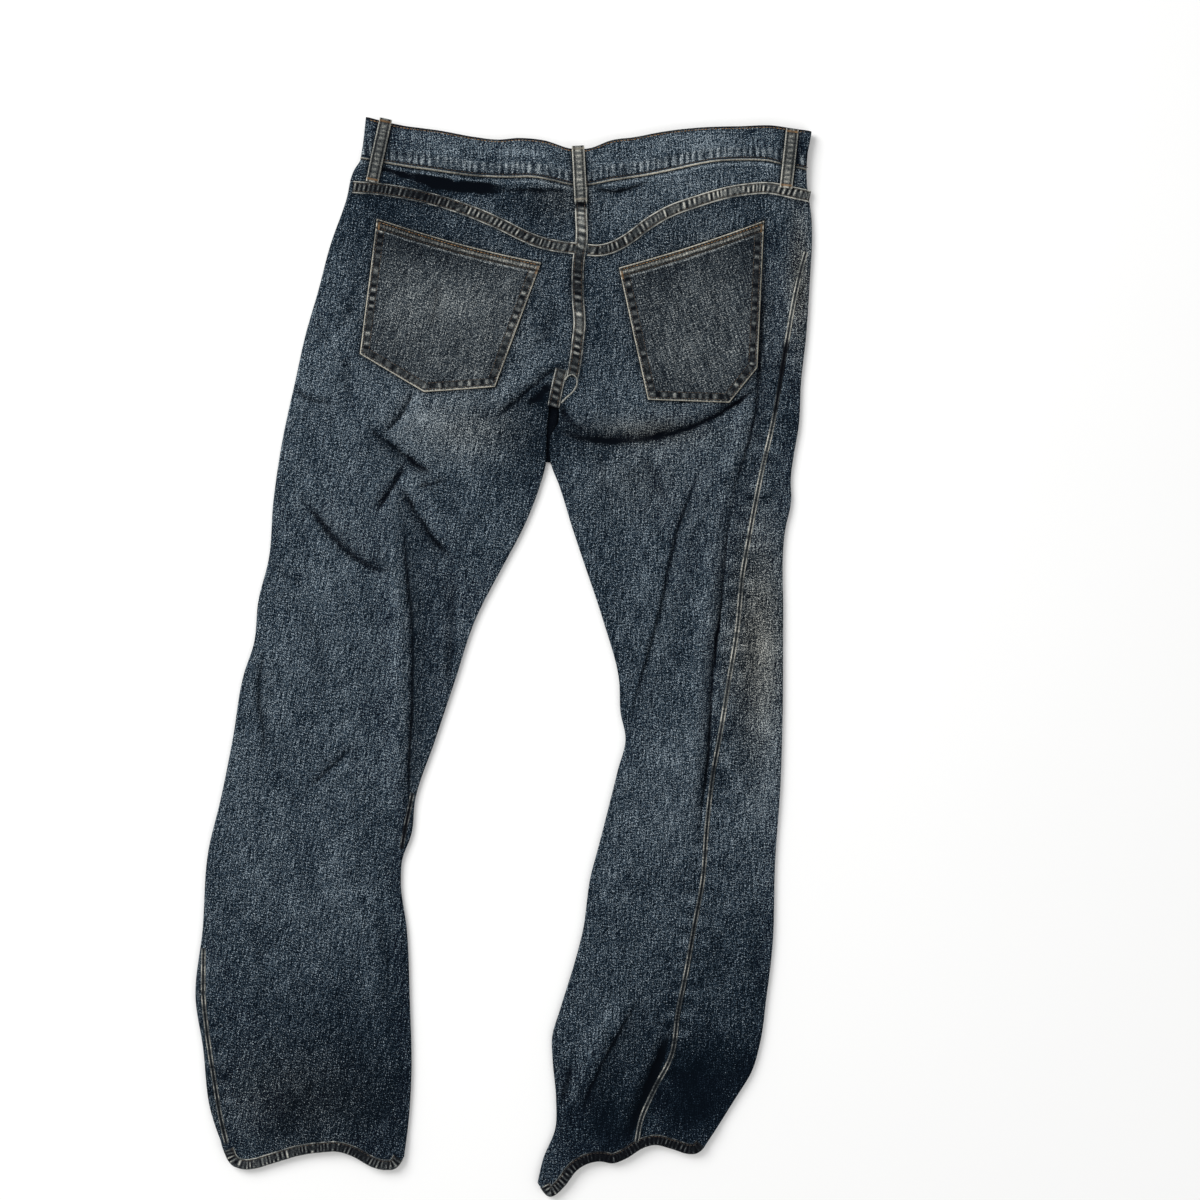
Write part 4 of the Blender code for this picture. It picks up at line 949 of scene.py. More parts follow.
def pocketFacing(side):
    leg = upperFront(side, 50, "mouth")
    mouth = openings(side, leg)[0]
    end = -toGirth(np.maximum(mouth - cloth["gap"] / 2, panels["facingTip"]))
    girth = leg.columns(0.0, end, 40, 1.0)
    name = f"pocketFacing{side.title()}Cloth"
    return panel(name, leg, girth, (hiddenLine, None), cloth["denim"], 0.1, bare)


def flyFlap():
    leg = upperFront("left", 60, "fly")
    fly = openings("left", leg)[1]
    tip = cloth["gap"] / 2 + panels["facingTip"]
    start = -(leg.whole - toGirth(np.maximum(fly - cloth["gap"] / 2, tip)))
    girth = leg.columns(start, -(leg.whole - toGirth(cloth["gap"] / 2)), 24, 1.0)
    return panel("flyFlapCloth", leg, girth, (hiddenLine, None), cloth["denim"], 0.0, bare)


yokes = {"rows": 42, "columns": 150, "cut": (0.250, 0.066, 0.0122)}


def yokePiece(side):
    shape = legs[side]
    share = np.linspace(0, 1, yokes["rows"])
    gap = cloth["gap"]
    outer, inner = (mixed(a + gap / 2, b - gap / 2, share) for a, b in zip(shape["waist"], shape["seam"]))
    leg = Leg(side, outer, inner)
    girth = np.linspace(0, 1 - 0.9 / leg.whole[0], yokes["columns"]) * leg.whole[:, None]
    edges = seamEdges + loopEdges(side)

    def top(across):
        return waistSeam(across) + gap / 2

    def bottom(across):
        return shape["yoke"](across) - gap / 2

    def dress(across, down):
        # painted shadow in a line under the waistband with a painted highlight on the ridge below it, and
        # painted shade above the felled seam
        below = down - waistSeam(across)
        under = 0.95 * np.exp(-((np.abs(below) / 1.5) ** 2))
        above = 0.5 * np.exp(-np.abs(down - shape["yoke"](across)) / 1.4)
        shade = np.maximum(besideEdges(across, down, edges), np.maximum(under, above))
        return 0.24 * peak(below - 3.4, 1.6), shade

    name = f"yoke{side.title()}Cloth"
    return panel(name, leg, girth, (top, bottom), cloth["denim"], shape["weave"], dress, (1e6, 1e6))


def loopEdges(*which):
    # both edges of back belt loops, and their shadows
    found = []
    for name in (*which, "middle"):
        first, last = loops["back"][name]
        beside = heading(first, last)[1] * loops["width"] / 2
        found += [(np.array([first + shift, last + shift]), 0.95, 2.6) for shift in (beside, -beside)]
    return found


waist = {
    "columns": 190,
    "hiddenColumns": 60,
    "cut": (0.905, 0.040),
    "proud": 0.7,             # it stands this far over the yoke
    "pucker": 6.8,            # spacing of the puckers along its lower seam
    "seam": 0.915,            # where the lower row of stitches runs, as a share of its height
    "from": (362, 8),         # where it begins to stand proud, and over how long
    "to": (812, 6),
    "girth": 220,             # about how wide each half of it is
}


def waistband():
    # one strip round the waist, whose ends meet at the front
    parts = [np.linspace(*part) for part in ((0, 0.07, 4), (0.11, 0.84, 19), (0.87, 1, 11))]
    places = np.concatenate(parts)[:, None]

    def stretch(side, share, firstLine, lastLine, beneath):
        outerLine = legs[side]["outer"]
        down = 150.0 + 0 * places * share
        for _ in range(3):
            outer = outerLine(down)
            inner = cloth["frontMiddle"] + 0 * down if beneath else seatSeam(down)
            width = np.abs(inner - outer)
            whole = width + 2 * bendLength
            inward = np.where(share < 0.5, fromEdge(share * whole), width - fromEdge(whole - share * whole))
            across = outer + np.sign(inner - outer) * inward
            down = mixed(firstLine(across), lastLine(across) - cloth["gap"] / 2, places)
        return across, down, np.full(across.shape, beneath)

    first, last = toGirth([0.9, 2.4]) / waist["girth"], 1 - 0.5 / waist["girth"]
    onTop = np.linspace(0, last, waist["columns"])
    hidden = np.concatenate([first, np.linspace(0.03, last, waist["hiddenColumns"])])
    pieces = [
        stretch("left", hidden[::-1], frontTop, frontSeam, True),
        stretch("left", onTop, waistTop, waistSeam, False),
        stretch("right", onTop[::-1], waistTop, waistSeam, False),
        stretch("right", hidden, frontTop, frontSeam, True),
    ]
    across, down, beneath = (np.concatenate(part, axis=1) for part in zip(*pieces))
    outside, inside, fold = facesAt(across, down, beneath, cloth["bandWall"])
    marks = marksAt(across, down, beneath, fold, 0.05)
    along = across + np.where(beneath, 700.0, 0.0)
    puckers = waves(along, waist["pucker"], 3, 17.0, 31)
    puckers = puckers * (0.75 + 0.6 * softNoise(along, places * 40, 11.0, 32))
    puckered = smooth((places - 0.56) / 0.12) * smooth((0.93 - places) / 0.05)
    stripes = softNoise(along * 0.15, places * 40, 3.2, 33)
    lowRim, topRim = smooth((places - 0.95) / 0.02), smooth((0.05 - places) / 0.03)
    stitched = peak(places - waist["seam"], 0.02)
    marks["tone"] += 0.3 * puckers * puckered + 0.12 * stripes + 0.17 * puckered - 0.02
    marks["tone"] += 0.5 * smooth((places - 0.945) / 0.02) - 0.05 * peak(places - 0.03, 0.03)
    marks["tan"] = marks["tan"] * 0.3 + 0.2 * puckered + lowRim + topRim
    # painted shadows beside the loops, and painted shade along the lower row's groove
    contact = np.where(beneath, 0, besideEdges(across, down, loopEdges("left", "right")))
    marks["shade"] = np.maximum(np.maximum(marks["shade"] * (places < 0.9), 0.8 * stitched), contact)
    ends = np.maximum(smooth((places - 0.9) / 0.03), smooth((0.06 - places) / 0.03))
    marks["plain"] = ends + 0.4 * puckered
    proud = waist["proud"] * smooth((1.02 - places) / 0.06) + 0.22 * puckers * puckered
    proud = proud + 0.35 * peak(places - 0.975, 0.02) - 0.3 * stitched
    (start, startOver), (stop, stopOver) = waist["from"], waist["to"]
    proud = proud * smooth((across - start) / startOver) * smooth((stop - across) / stopOver)
    outside[..., 2] += np.where(beneath, 0, proud)
    return shell("waistbandCloth", outside, inside, washedDenim, marks)


def fellRise(across, down):
    # the raised felled seams below the yokes and left of the seat seam
    below = down - np.where(across < seatSeam(down), yokeLeft(across), yokeRight(across))
    beside = seatSeam(down) - across
    yoke = smooth(below + 0.5) * smooth((13 - below) / 2.5)
    seat = smooth(beside + 0.5) * smooth((12.5 - beside) / 2.5) * smooth((398 - down) / 20)
    return np.maximum(yoke, seat * (down > 183))


def coverRise(across, down, reach):
    # the rise of what a piece lies on, from the highest place within reach
    rise = np.zeros(np.shape(across))
    for a in np.linspace(-reach, reach, 5):
        for d in np.linspace(-reach, reach, 5):
            band = waist["proud"] * smooth((waistSeam(across + a) - down - d) / 2)
            top = layers(across + a, down + d)[1]
            rise = np.maximum(rise, top + fellRise(across + a, down + d) + band)
    return rise


def refine(coarse, rows, columns):
    # a smooth fine grid through a coarse one
    r = np.linspace(0, coarse.shape[0] - 1.0001, rows)
    c = np.linspace(0, coarse.shape[1] - 1.0001, columns)
    i, j = r.astype(int)[:, None], c.astype(int)[None, :]
    fi, fj = (r - np.floor(r))[:, None], (c - np.floor(c))[None, :]
    first = mixed(coarse[i, j], coarse[i, j + 1], fj)
    last = mixed(coarse[i + 1, j], coarse[i + 1, j + 1], fj)
    return mixed(first, last, fi)


pockets = {
    "left": {
        "top": [(377, 219), (541, 263)], "bow": 3, "low": [(360, 354), (424, 392), (495, 387)],
        "corner": 0.5, "weave": -0.26, "fell": np.linspace(352, 574, 40), "seed": 41,
        "creases": [
            ([(438, 280), (436, 300), (431, 330)], 0, 1.6, 0, 0, 9, 0.6, 5, 5),
            ([(395, 262), (402, 272), (412, 280)], 0, 1.4, 0, 0, 9, 0.3, 4, 4)]},
    "right": {
        "top": [(619, 268), (764, 221)], "bow": 2, "low": [(648, 400), (729, 403), (757, 368)],
        "corner": 0.66, "weave": 0.31, "fell": np.linspace(590, 812, 40), "seed": 51,
        "creases": [
            ([(700, 270), (712, 300), (720, 330)], 0, 2.0, 0, 0, 9, 0.25, 6, 6),
            ([(758, 250), (757, 300), (756, 350)], 0, 3.0, 0, 0, 9, 0.3, 2, 9)]},
    "grid": (180, 190),       # rows, columns
    "coarse": (26, 28),       # the same where the cloth beneath it is felt
    "cover": 8.0,             # how far round each place the cloth beneath is felt
    "closer": 0.085,          # how much closer the rows are at the edges
    "wall": 1.3,
    "clearance": 0.3,
    "rowsAt": (2.4, 8.6),     # the two rows of stitches, in from the edge
    "pucker": 9.5,            # spacing of the puckers along its sides
    "ridge": 3.6,             # and of the small ridges along its top
    "cut": (0.168, 0.168, 0.0210),
}


def pocketTop(side, share):
    # places along a pocket's top edge, which is bowed
    shape = pockets[side]
    edge = mixed(*np.array(shape["top"], float), share[..., None])
    edge[..., 1] += shape["bow"] * np.sin(math.pi * share)
    return edge


def pocketGrid(side, rows, columns):
    # places all over a pocket, closer towards its edges
    even = [np.linspace(0, 1, count) for count in (columns, rows)]
    column, row = np.meshgrid(*(f - pockets["closer"] * np.sin(2 * math.pi * f) for f in even))
    low, marks = np.array(pockets[side]["low"], float), (0, pockets[side]["corner"], 1)
    lower = placed(*(np.interp(column, marks, low[:, i]) for i in (0, 1)))
    at = mixed(pocketTop(side, column), lower, row[..., None])
    return at[..., 0], at[..., 1]


def pocketEdges(side, across, down):
    # how far in from the top edge a place lies and how far along it, and the same for the nearest other edge
    shape = pockets[side]

    def beside(first, last):
        # across the edge, the share along it, its length
        length = np.hypot(*np.subtract(last, first))
        run = np.subtract(last, first) / length
        x, y = across - first[0], down - first[1]
        return y * run[0] - x * run[1], np.clip((x * run[0] + y * run[1]) / length, 0, 1), length

    corners = [shape["top"][1], *shape["low"][::-1], shape["top"][0]]
    best, along, before = np.full(across.shape, 1e3), np.zeros(across.shape), 0.0
    for first, last in zip(corners[:-1], corners[1:]):
        f, length = beside(first, last)[1:]
        distance = np.hypot(across - mixed(first[0], last[0], f), down - mixed(first[1], last[1], f))
        along = np.where(distance < best, before + f * length, along)
        best = np.minimum(best, distance)
        before += length
    inward, f, length = beside(*shape["top"])
    return inward - shape["bow"] * np.sin(math.pi * f) * 0.96, f * length, best, along


def pocketSurface(side, across, down, base):
    # the pocket's outer face, and its marks
    fromTop, alongTop, fromSide, alongSide = pocketEdges(side, across, down)
    outer, inner = pockets["rowsAt"]
    seed = pockets[side]["seed"]
    hemmed = smooth((inner + 2.2 - fromTop) / 1.2)
    border = smooth(fromSide - outer) * smooth((inner - fromSide) / 1.2) * (1 - hemmed)
    puckers = waves(alongSide, pockets["pucker"], 3.4, 21.0, seed)
    puckers = puckers * (0.6 + 0.75 * softNoise(alongSide, fromSide, 6.0, seed + 1))
    ridges = waves(alongTop, pockets["ridge"], 2.0, 9.0, seed + 2)
    fromEither = np.minimum(fromSide, fromTop)
    rim = peak(fromEither, 1.1)
    rowsTop = peak(fromTop - outer - 0.3, 0.9) + peak(fromTop - inner, 0.9)
    rowsSide = (peak(fromSide - outer, 0.9) + peak(fromSide - inner, 0.9)) * (1 - hemmed)
    middle = smooth((fromSide - 12) / 20) * smooth((fromTop - 14) / 20)
    rise = base + pockets["wall"] + 0.35 * (1 - smooth(fromTop / 12)) - 0.25 * rowsSide - 0.45 * rowsTop
    rise += 0.34 * puckers * border + 0.12 * ridges * peak(fromTop - 6.4, 1.6) - 0.75 * peak(fromEither, 0.5)
    rise += 0.5 * middle + 0.3 * softNoise(across, down, 16.0, seed + 3) * middle
    # painted shade along the stitched grooves and below the top hem, and in the pocket's creases
    shade = 0.85 * rowsTop + 0.55 * rowsSide + 0.35 * peak(fromTop - 13.4, 1.6)
    shade = shade + creased(pockets[side]["creases"], across, down)[1]
    marks = marksAt(across, down, False, (shade, 0), pockets[side]["weave"])
    marks["tone"] += 0.36 * puckers * border + 0.04 * border + 0.7 * rim + 0.08 * ridges * hemmed
    marks["tone"] += 0.34 * peak(fromTop - 5.6, 1.6) + 0.36 * peak(fromTop - inner - 2.3, 1.1)
    marks["tone"] -= 0.05 * (1 - middle) * (1 - hemmed)
    marks["tan"] = np.clip(0.42 + 0.3 * border + 0.4 * hemmed + rim, 0, 1)
    marks["plain"] = np.clip(0.8 * border + 0.6 * hemmed + rim, 0, 1)
    return rise, marks


def backPocket(side):
    across, down = pocketGrid(side, *pockets["grid"])
    base = refine(coverRise(*pocketGrid(side, *pockets["coarse"]), pockets["cover"]), *pockets["grid"])
    base = base + pockets["clearance"]
    rise, marks = pocketSurface(side, across, down, base)
    outside, inside = placed(across, down, rise), placed(across, down, base)
    return shell(f"backPocket{side.title()}Cloth", outside, inside, wornDenim, marks)


loops = {
    "back": {
        "left": ((386.5, 120), (372.5, 183)),
        "middle": ((578, 147), (581, 203)),
        "right": ((792, 130), (785.5, 189)),
    },
    "front": {"left": 492, "right": 684},
    "width": 12.5,
    "wall": 1.7,
    "grid": (72, 19),
    "coarse": 6,              # every such place is where the cloth beneath a loop is felt
    "cover": 4.0,
    "clearance": 0.3,
    "ends": (3, 11),          # how far the front loops' ends lie past the waistband's edges
    "rowsAt": 0.31,           # the stitch rows, as a share of the width from its middle
    "arch": 0.8,
    "rope": 5.2,              # spacing of the puckers down its middle
    "cut": {"back": (0.025, 0.066), "front": (0.025, 0.050)},     # folded lengthwise
}


def dotted(along):
    # from 0 to 1, once for each stitch
    return 0.5 + 0.5 * np.sin(2 * math.pi * along / stitching["pitch"])


def loopPiece(name, first, last, under, beneath=False):
    # a flat strip with stitched, pale edges
    first, last = np.array(first, float), np.array(last, float)
    beside = heading(first, last)[1] * loops["width"]
    turned = -1 if beneath else 1
    rows, columns = loops["grid"]
    share = np.linspace(0.5, -0.5, columns)[None, :] * turned
    f = np.linspace(0, 1, rows)[:, None]
    across, down = (mixed(first[i], last[i], f) + beside[i] * share for i in (0, 1))
    base = under(across, down)
    along = f * np.linalg.norm(last - first)
    far = np.abs(share)
    body = 1 - 0.45 * smooth((far - 0.42) / 0.08) - 0.3 * peak(far - loops["rowsAt"], 0.06)
    rise = base + (loops["wall"] * body + loops["arch"] * np.sin(math.pi * f) ** 0.7) * turned
    marks = marksAt(across, down, False, (0, 0), 0.1)
    rope = waves(along, loops["rope"], 2.5, 9.0, 61 + len(name)) * peak(share, 0.24)
    marks["tone"] += 0.27 + 0.3 * smooth((far - 0.41) / 0.05) + 0.16 * rope + 0.22 * smooth((f - 0.93) / 0.03)
    # painted shade in the stitched grooves, dotted where the dark stitches lie
    marks["shade"] = peak(far - loops["rowsAt"], 0.085) * (0.78 + 0.22 * dotted(along))
    marks.update(plain=0.85, tan=0.8)
    return shell(name, placed(across, down, rise), placed(across, down, base), wornDenim, marks)


def backLoop(which):
    def under(across, down):
        step = loops["coarse"]
        coarse = coverRise(across[::step, ::step], down[::step, ::step], loops["cover"])
        return refine(coarse, *across.shape) + loops["clearance"]

    return loopPiece(f"beltLoopBack{which.title()}", *loops["back"][which], under)


def frontLoop(which):
    def under(across, down):
        return cloth["frontLift"] - cloth["gap"] - 0.02 + 0 * across

    across, (above, below) = loops["front"][which], loops["ends"]
    first, last = (across, frontTop(across) + above), (across, frontSeam(across) + below)
    return loopPiece(f"beltLoopFront{which.title()}", first, last, under, True)


button = {
    "left": 12.0,             # how far left of the front's middle it sits
    "turns": 64,
    "profile": [              # how far from its middle, how high
        (0, 0.55), (2.4, 0.45), (3.0, 0.75), (3.4, 0.95), (5.9, 0.85), (6.5, 0.45), (7.2, 0.12), (7.9, 0.1),
        (8.4, 0.5), (8.5, 1.1), (8.2, 1.7), (7.0, 2.1), (2.0, 2.2), (0, 2.2)],
}


def waistButton():
    # a turned metal button, face down, with a rolled rim and a small dome
    angles = np.linspace(0, 2 * math.pi, button["turns"], endpoint=False)
    middle = cloth["frontMiddle"]
    radius, rise = np.array(button["profile"])[..., None].transpose(1, 0, 2)
    across = middle - button["left"] + radius * np.cos(angles)
    down = (frontTop(middle) + frontSeam(middle)) / 2 + radius * np.sin(angles)
    grid = np.arange(across.size).reshape(across.shape)
    faces = quads(np.concatenate([grid, grid[:, :1]], axis=1)).reshape(-1, 4)
    piece = addPiece("waistButton", placed(across, down, rise).reshape(-1, 3), faces, agedCopper)
    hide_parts("waist_button")


# What the kinds of sewn bands share: "drop" is how far the outer edge turns down, "edge" how pale the
# edges are worn from "edgeAt" on, and "rows" where they are stitched, as shares of the width
bandLook = {
    "rise": 1.0, "round": 6.0, "drop": 0.0, "slant": 0.4, "ripple": 0.35, "tone": 0.1,
    "edge": 0.55, "edgeAt": 0.40, "rowShade": 0.85,
}
bands = {
    "fell": {
        **bandLook, "width": 11.6, "columns": 19, "spacing": 4.9, "contrast": 0.5, "tone": 0.12,
        "rows": (-0.33, 0.33), "rowWidth": 0.06,
    },
    "seat": {
        **bandLook, "width": 11.8, "columns": 19, "spacing": 7.4, "contrast": 0.36, "tone": 0.22,
        "edgeAt": 0.41, "rows": (-0.31, 0.31), "rowShade": 0.9, "rowWidth": 0.08,
    },
    "ridge": {
        **bandLook, "width": 4.6, "columns": 15, "rise": 0.6, "round": 4.0,
        "spacing": 3.4, "slant": 0.0, "ripple": 0.05, "contrast": 0.12, "tone": 0.0,
        "edge": 0.46, "edgeAt": 0.24, "rows": (0.0,), "rowShade": 0.65, "rowWidth": 0.14,
    },
    "hem": {
        **bandLook, "width": 11.0, "columns": 21, "rise": 0.5, "round": 8.0, "drop": 1.9,
        "spacing": 4.2, "slant": 0.25, "ripple": 0.32, "contrast": 0.46,
        "edge": 0.56, "edgeAt": 0.41, "rows": (-0.34,), "rowShade": 0.55, "rowWidth": 0.05,
    },
    "mouth": {
        **bandLook, "width": 9.0, "columns": 13, "rise": 0.9,
        "spacing": 6.5, "slant": 0.3, "ripple": 0.3, "contrast": 0.2,
        "edge": 0.45, "rows": (-0.22, 0.34), "rowWidth": 0.07,
    },
    "cord": {
        **bandLook, "width": 1.6, "columns": 9, "rise": 1.4, "round": 2.0,
        "spacing": 3.0, "slant": 0.3, "ripple": 0.08, "contrast": 0.1, "tone": 0.5,
        "edge": 0.0, "rows": (), "rowShade": 0.0, "rowWidth": 0.1,
    },
    "step": 0.8,
    "wall": 1.1,
    "fellMiddle": 5.9,        # how far below a yoke's seam the middle of its felled seam lies
    "hemIn": 0.7,             # how far a hem's band stands out past the hem's edge
    "pressed": 0.3,           # how much of its relief a band keeps beneath the garment
}


class Band:
    # a raised strip along a route on the mat, with puckers across it and grooves where it is stitched.
    # Its wear function says how much paler or darker it is, from how far along it is, as wear and, on some
    # bands, as painted shade
    def __init__(self, points, look, seed, cloth, beneath=False, wearAndShade=None):
        self.look, self.seed, self.cloth, self.beneath, self.wearAndShade = bands[look], seed, cloth, beneath, wearAndShade
        self.route = through(points, bands["step"])
        run = np.gradient(self.route, axis=0)
        run = run / np.hypot(*run.T)[:, None]
        self.beside = placed(-run[:, 1], run[:, 0])
        self.along = travelled(self.route)[:, None]

    def surface(self, share):
        # (points, tone, shade) at shares of the width, from -0.5 to 0.5
        look, along, seed = self.look, self.along, self.seed
        share = np.asarray(share, float)[None, :]
        at = self.route[:, None] + self.beside[:, None] * share[..., None] * look["width"]
        across, down = at[..., 0], at[..., 1]
        far = np.abs(share)
        spacing = look["spacing"]
        puckers = waves(along, spacing, 3.4, spacing * 2.6, seed, look["slant"] * share)
        puckers = puckers * (0.55 + 0.85 * softNoise(along, share * look["width"], spacing * 0.9, seed + 1))
        puckers = puckers * smooth((0.41 - far) / 0.07)
        rows = 0 * share + sum(peak(share - row, look["rowWidth"]) for row in look["rows"])
        relief = look["rise"] * (1 - (2 * far) ** look["round"]) + 0.04 + look["ripple"] * puckers
        relief = relief - 0.38 * rows - look["drop"] * smooth((share - 0.40) / 0.1) ** 2
        under, top = layers(across, down)[:2]
        rise = under - bands["pressed"] * relief if self.beneath else top + relief
        worn = 0.8 + 0.45 * softNoise(along, 0, 5.0, seed + 2)
        rubbed = look["edge"] * smooth((far - look["edgeAt"]) / 0.05) * worn
        # the band's wear, and on some bands painted shade, from its wear function
        tone = look["tone"] + look["contrast"] * puckers + rubbed + (self.wearAndShade(along) if self.wearAndShade else 0)
        # painted shade in the stitched grooves, dotted where the dark stitches lie
        shade = look["rowShade"] * rows * (0.55 + 0.45 * dotted(along))
        return placed(across, down, rise), tone, shade

    def row(self, share):
        # the line of points for a row of stitches
        return self.surface([share])[0][:, 0]

    def piece(self, name, material):
        turned = -1 if self.beneath else 1
        points, tone, shade = self.surface(turned * np.linspace(-0.5, 0.5, self.look["columns"]))
        marks = marksAt(points[..., 0], points[..., 1], self.beneath, (shade, 0), 0.3)
        marks["tone"] += tone
        marks.update(tan=0.75, plain=0.9)
        made = shell(name, points, points - [0, 0, bands["wall"] * turned], material, marks, 2)
        return made


def hemRoute(line, start, end):
    # the middle of the turned hem's band, which follows the hem's edge
    across = np.linspace(start, end, 40)
    down = line(across)
    run = placed(np.gradient(across), np.gradient(down))
    run = run / np.hypot(*run.T)[:, None] * (bands["hem"]["width"] / 2 - bands["hemIn"])
    return placed(across + run[:, 1], down - run[:, 0])


def fellRoute(line, start, end):
    across = np.linspace(start, end, 24)
    return placed(across, line(across) + bands["fellMiddle"])


def outseamWearAndShade(along):
    # the outseam's edges are worn pale at the hip, down the thigh and at the hem, and hardly between. Below
    # the hip, where it lies in a fold, it is painted darker as shade
    hidden = smooth((along - 86) / 14) * smooth((172 - along) / 16)
    dull = smooth((along - 470) / 60) * smooth((720 - along) / 40)
    hip = smooth((110 - along) / 20)
    return 0.05 - 0.1 * hip - 0.4 * hidden - 0.16 * dull + 0.22 * smooth((along - 770) / 60)


def seatWearAndShadow(along):
    # pale where worn at the yoke and above the crotch, with the middle loop's painted shadow under its end
    worn = 0.16 * peak(along - 30, 20) - 0.2 * smooth((along - 58) / 14) + 0.22 * peak(along - 138, 17)
    return worn - 0.6 * peak(along - 18, 2.6)


# a band's tone, darker by a fixed amount
def fixedDarker(along):
    return -0.14


# the right hem band's tone, darker by a fixed amount
def darkerHem(along):
    return -0.1


def hiddenRoute(side, edge, inward):
    # a line on a front, which lies beneath, in from its pocket's mouth, its fly or its middle seam
    leg = Leg(side, *frontDowns(side, panels["frontRows"][side]))
    mouth, fly = openings(side, leg)
    if edge == "mouth":
        girth, used = -toGirth(mouth + inward), mouth > 6
    elif edge == "fly":
        girth, used = toGirth(fly + inward) - leg.whole, fly > 5
    else:
        girth, used = toGirth(inward) - leg.whole, leg.joined & (leg.innerDown > legs[side]["flyEnd"] + 6)
    across, down, _ = leg.places(placed(girth, girth), (hiddenLine, legs[side]["hem"]))
    return placed(across[used, 0], down[used, 0])[::3]


bandRoutes = {
    # name: route, look, seed, the cloth piece that it goes with, whether it is beneath, how it is worn and,
    # on some, painted darker as shade
    "yokeFellLeft": (fellRoute(yokeLeft, 352.5, 577), "fell", 71, "backLeft"),
    "yokeFellRight": (fellRoute(yokeRight, 587.5, 810), "fell", 74, "backRight"),
    "seatFell": (
        [(581.3, 188), (581, 208), (581.3, 243), (578.8, 258), (577.6, 283), (578, 300), (579.5, 324),
         (577.6, 342), (576, 357), (572.6, 377)],
        "seat", 77, "backLeft", False, seatWearAndShadow),
    "crotchFell": (
        [(561.5, 369), (558.8, 380), (556.4, 391), (553.4, 407)], "seat", 79, "backLeft", False, fixedDarker),
    "crotchEdge": (
        [(565, 380), (568, 376), (572.5, 374.8), (576.5, 378), (577, 384), (573, 391.5), (567, 397),
         (561, 403)],
        "cord", 80, "backRight"),
    "outseamRidgeRight": (
        [(806, 252), (801.5, 268), (797, 287), (792, 312), (788, 335), (784.5, 355), (778.5, 392),
         (771.5, 430), (763, 466), (756, 500), (749.5, 535), (743, 571), (737, 631), (729, 680), (721, 730),
         (713, 774), (707, 825), (702.5, 882), (694.5, 925), (687, 968), (678, 1012), (671.5, 1055),
         (654, 1090), (641, 1120), (636.5, 1142)],
        "ridge", 80, "backRight", False, outseamWearAndShade),
    "outseamRidgeLeft": (
        [(203.5, 948), (203.2, 970), (203.2, 995), (205.5, 1022), (209.5, 1052), (215, 1086), (220.5, 1118),
         (226.5, 1143)],
        "ridge", 83, "backLeft"),
    "inseamRidgeLeft": (
        [(412.5, 793), (409.5, 808), (405, 829), (401.5, 849)], "ridge", 86, "backLeft", False, fixedDarker),
    "hemBandLeft": (hemRoute(hemLeft, 224, 402), "hem", 89, "backLeft"),
    "hemBandRight": (hemRoute(hemRight, 541, 704), "hem", 92, "backRight", False, darkerHem),
    "mouthBandLeft": (hiddenRoute("left", "mouth", 4.9), "mouth", 95, "frontLeft", True),
    "mouthBandRight": (hiddenRoute("right", "mouth", 4.9), "mouth", 97, "frontRight", True),
    "flyBand": (hiddenRoute("left", "fly", 4.9), "mouth", 99, "frontLeft", True),
    "frontRiseFell": (hiddenRoute("left", "rise", 5.2), "mouth", 101, "frontLeft", True),
    "hemBeneathLeft": (hemRoute(hemLeft, 226, 400), "hem", 103, "frontLeft", True),
    "hemBeneathRight": (hemRoute(hemRight, 543, 702), "hem", 105, "frontRight", True),
}


def crotchJoin():
    # the crossing seams' allowance, in the shadow between the legs where they part, painted nearly black as
    # that shadow
    route = through([(554, 399), (553.5, 410), (552, 424), (549.5, 438), (548.3, 452), (548, 462)], 3.0)
    share = np.linspace(-1, 1, 5)[None, :]
    half = np.linspace(7.0, 3.4, len(route))[:, None]
    points = placed(route[:, :1] + half * share, route[:, 1:], 1.5 + 0.5 * (1 - share**2))
    # painted shadow, nearly black all over
    marks = marksAt(points[..., 0], points[..., 1], False, (0.97, 0))
    made = shell("crotchJoin", points, points - [0, 0, bands["wall"]], washedDenim, marks, 1)
    return made


stitching = {
    "pitch": 3.4,
    "length": 2.7,
    "thread": 0.32,           # half its thickness
    "proud": 0.10,
    "bar": {"spacing": 0.9, "length": 2.6, "lean": 0.25, "up": 0.25},     # the short stitches of a bartack
}


def alongRow(points):
    # stitches along a line: (middles, directions, half lengths)
    points = np.asarray(points, float)
    length = travelled(points)
    half = stitching["length"] / 2
    middles = np.arange(half + 0.5, length[-1] - half, stitching["pitch"])
    first, middle, last = (
        placed(*(np.interp(middles + offset, length, axis) for axis in points.T))
        for offset in (-half, 0, half))
    run = last - first
    return middle, run / np.linalg.norm(run, axis=1)[:, None], np.full(len(middles), half)


def bartack(start, end, rise):
    # a dense bar of short stitches from start to end
    size = stitching["bar"]
    run, square = heading(start, end)
    count = max(int(np.hypot(*np.subtract(end, start)) / size["spacing"]), 3)
    middles = np.add(start, np.subtract(end, start) * np.linspace(0, 1, count)[:, None])
    across = np.array([*(square + run * size["lean"]), 0])
    points = np.c_[middles, rise(middles[:, 0], middles[:, 1]) + size["up"]]
    directions = np.tile(across / np.linalg.norm(across), (count, 1))
    return points, directions, np.full(count, size["length"] / 2)


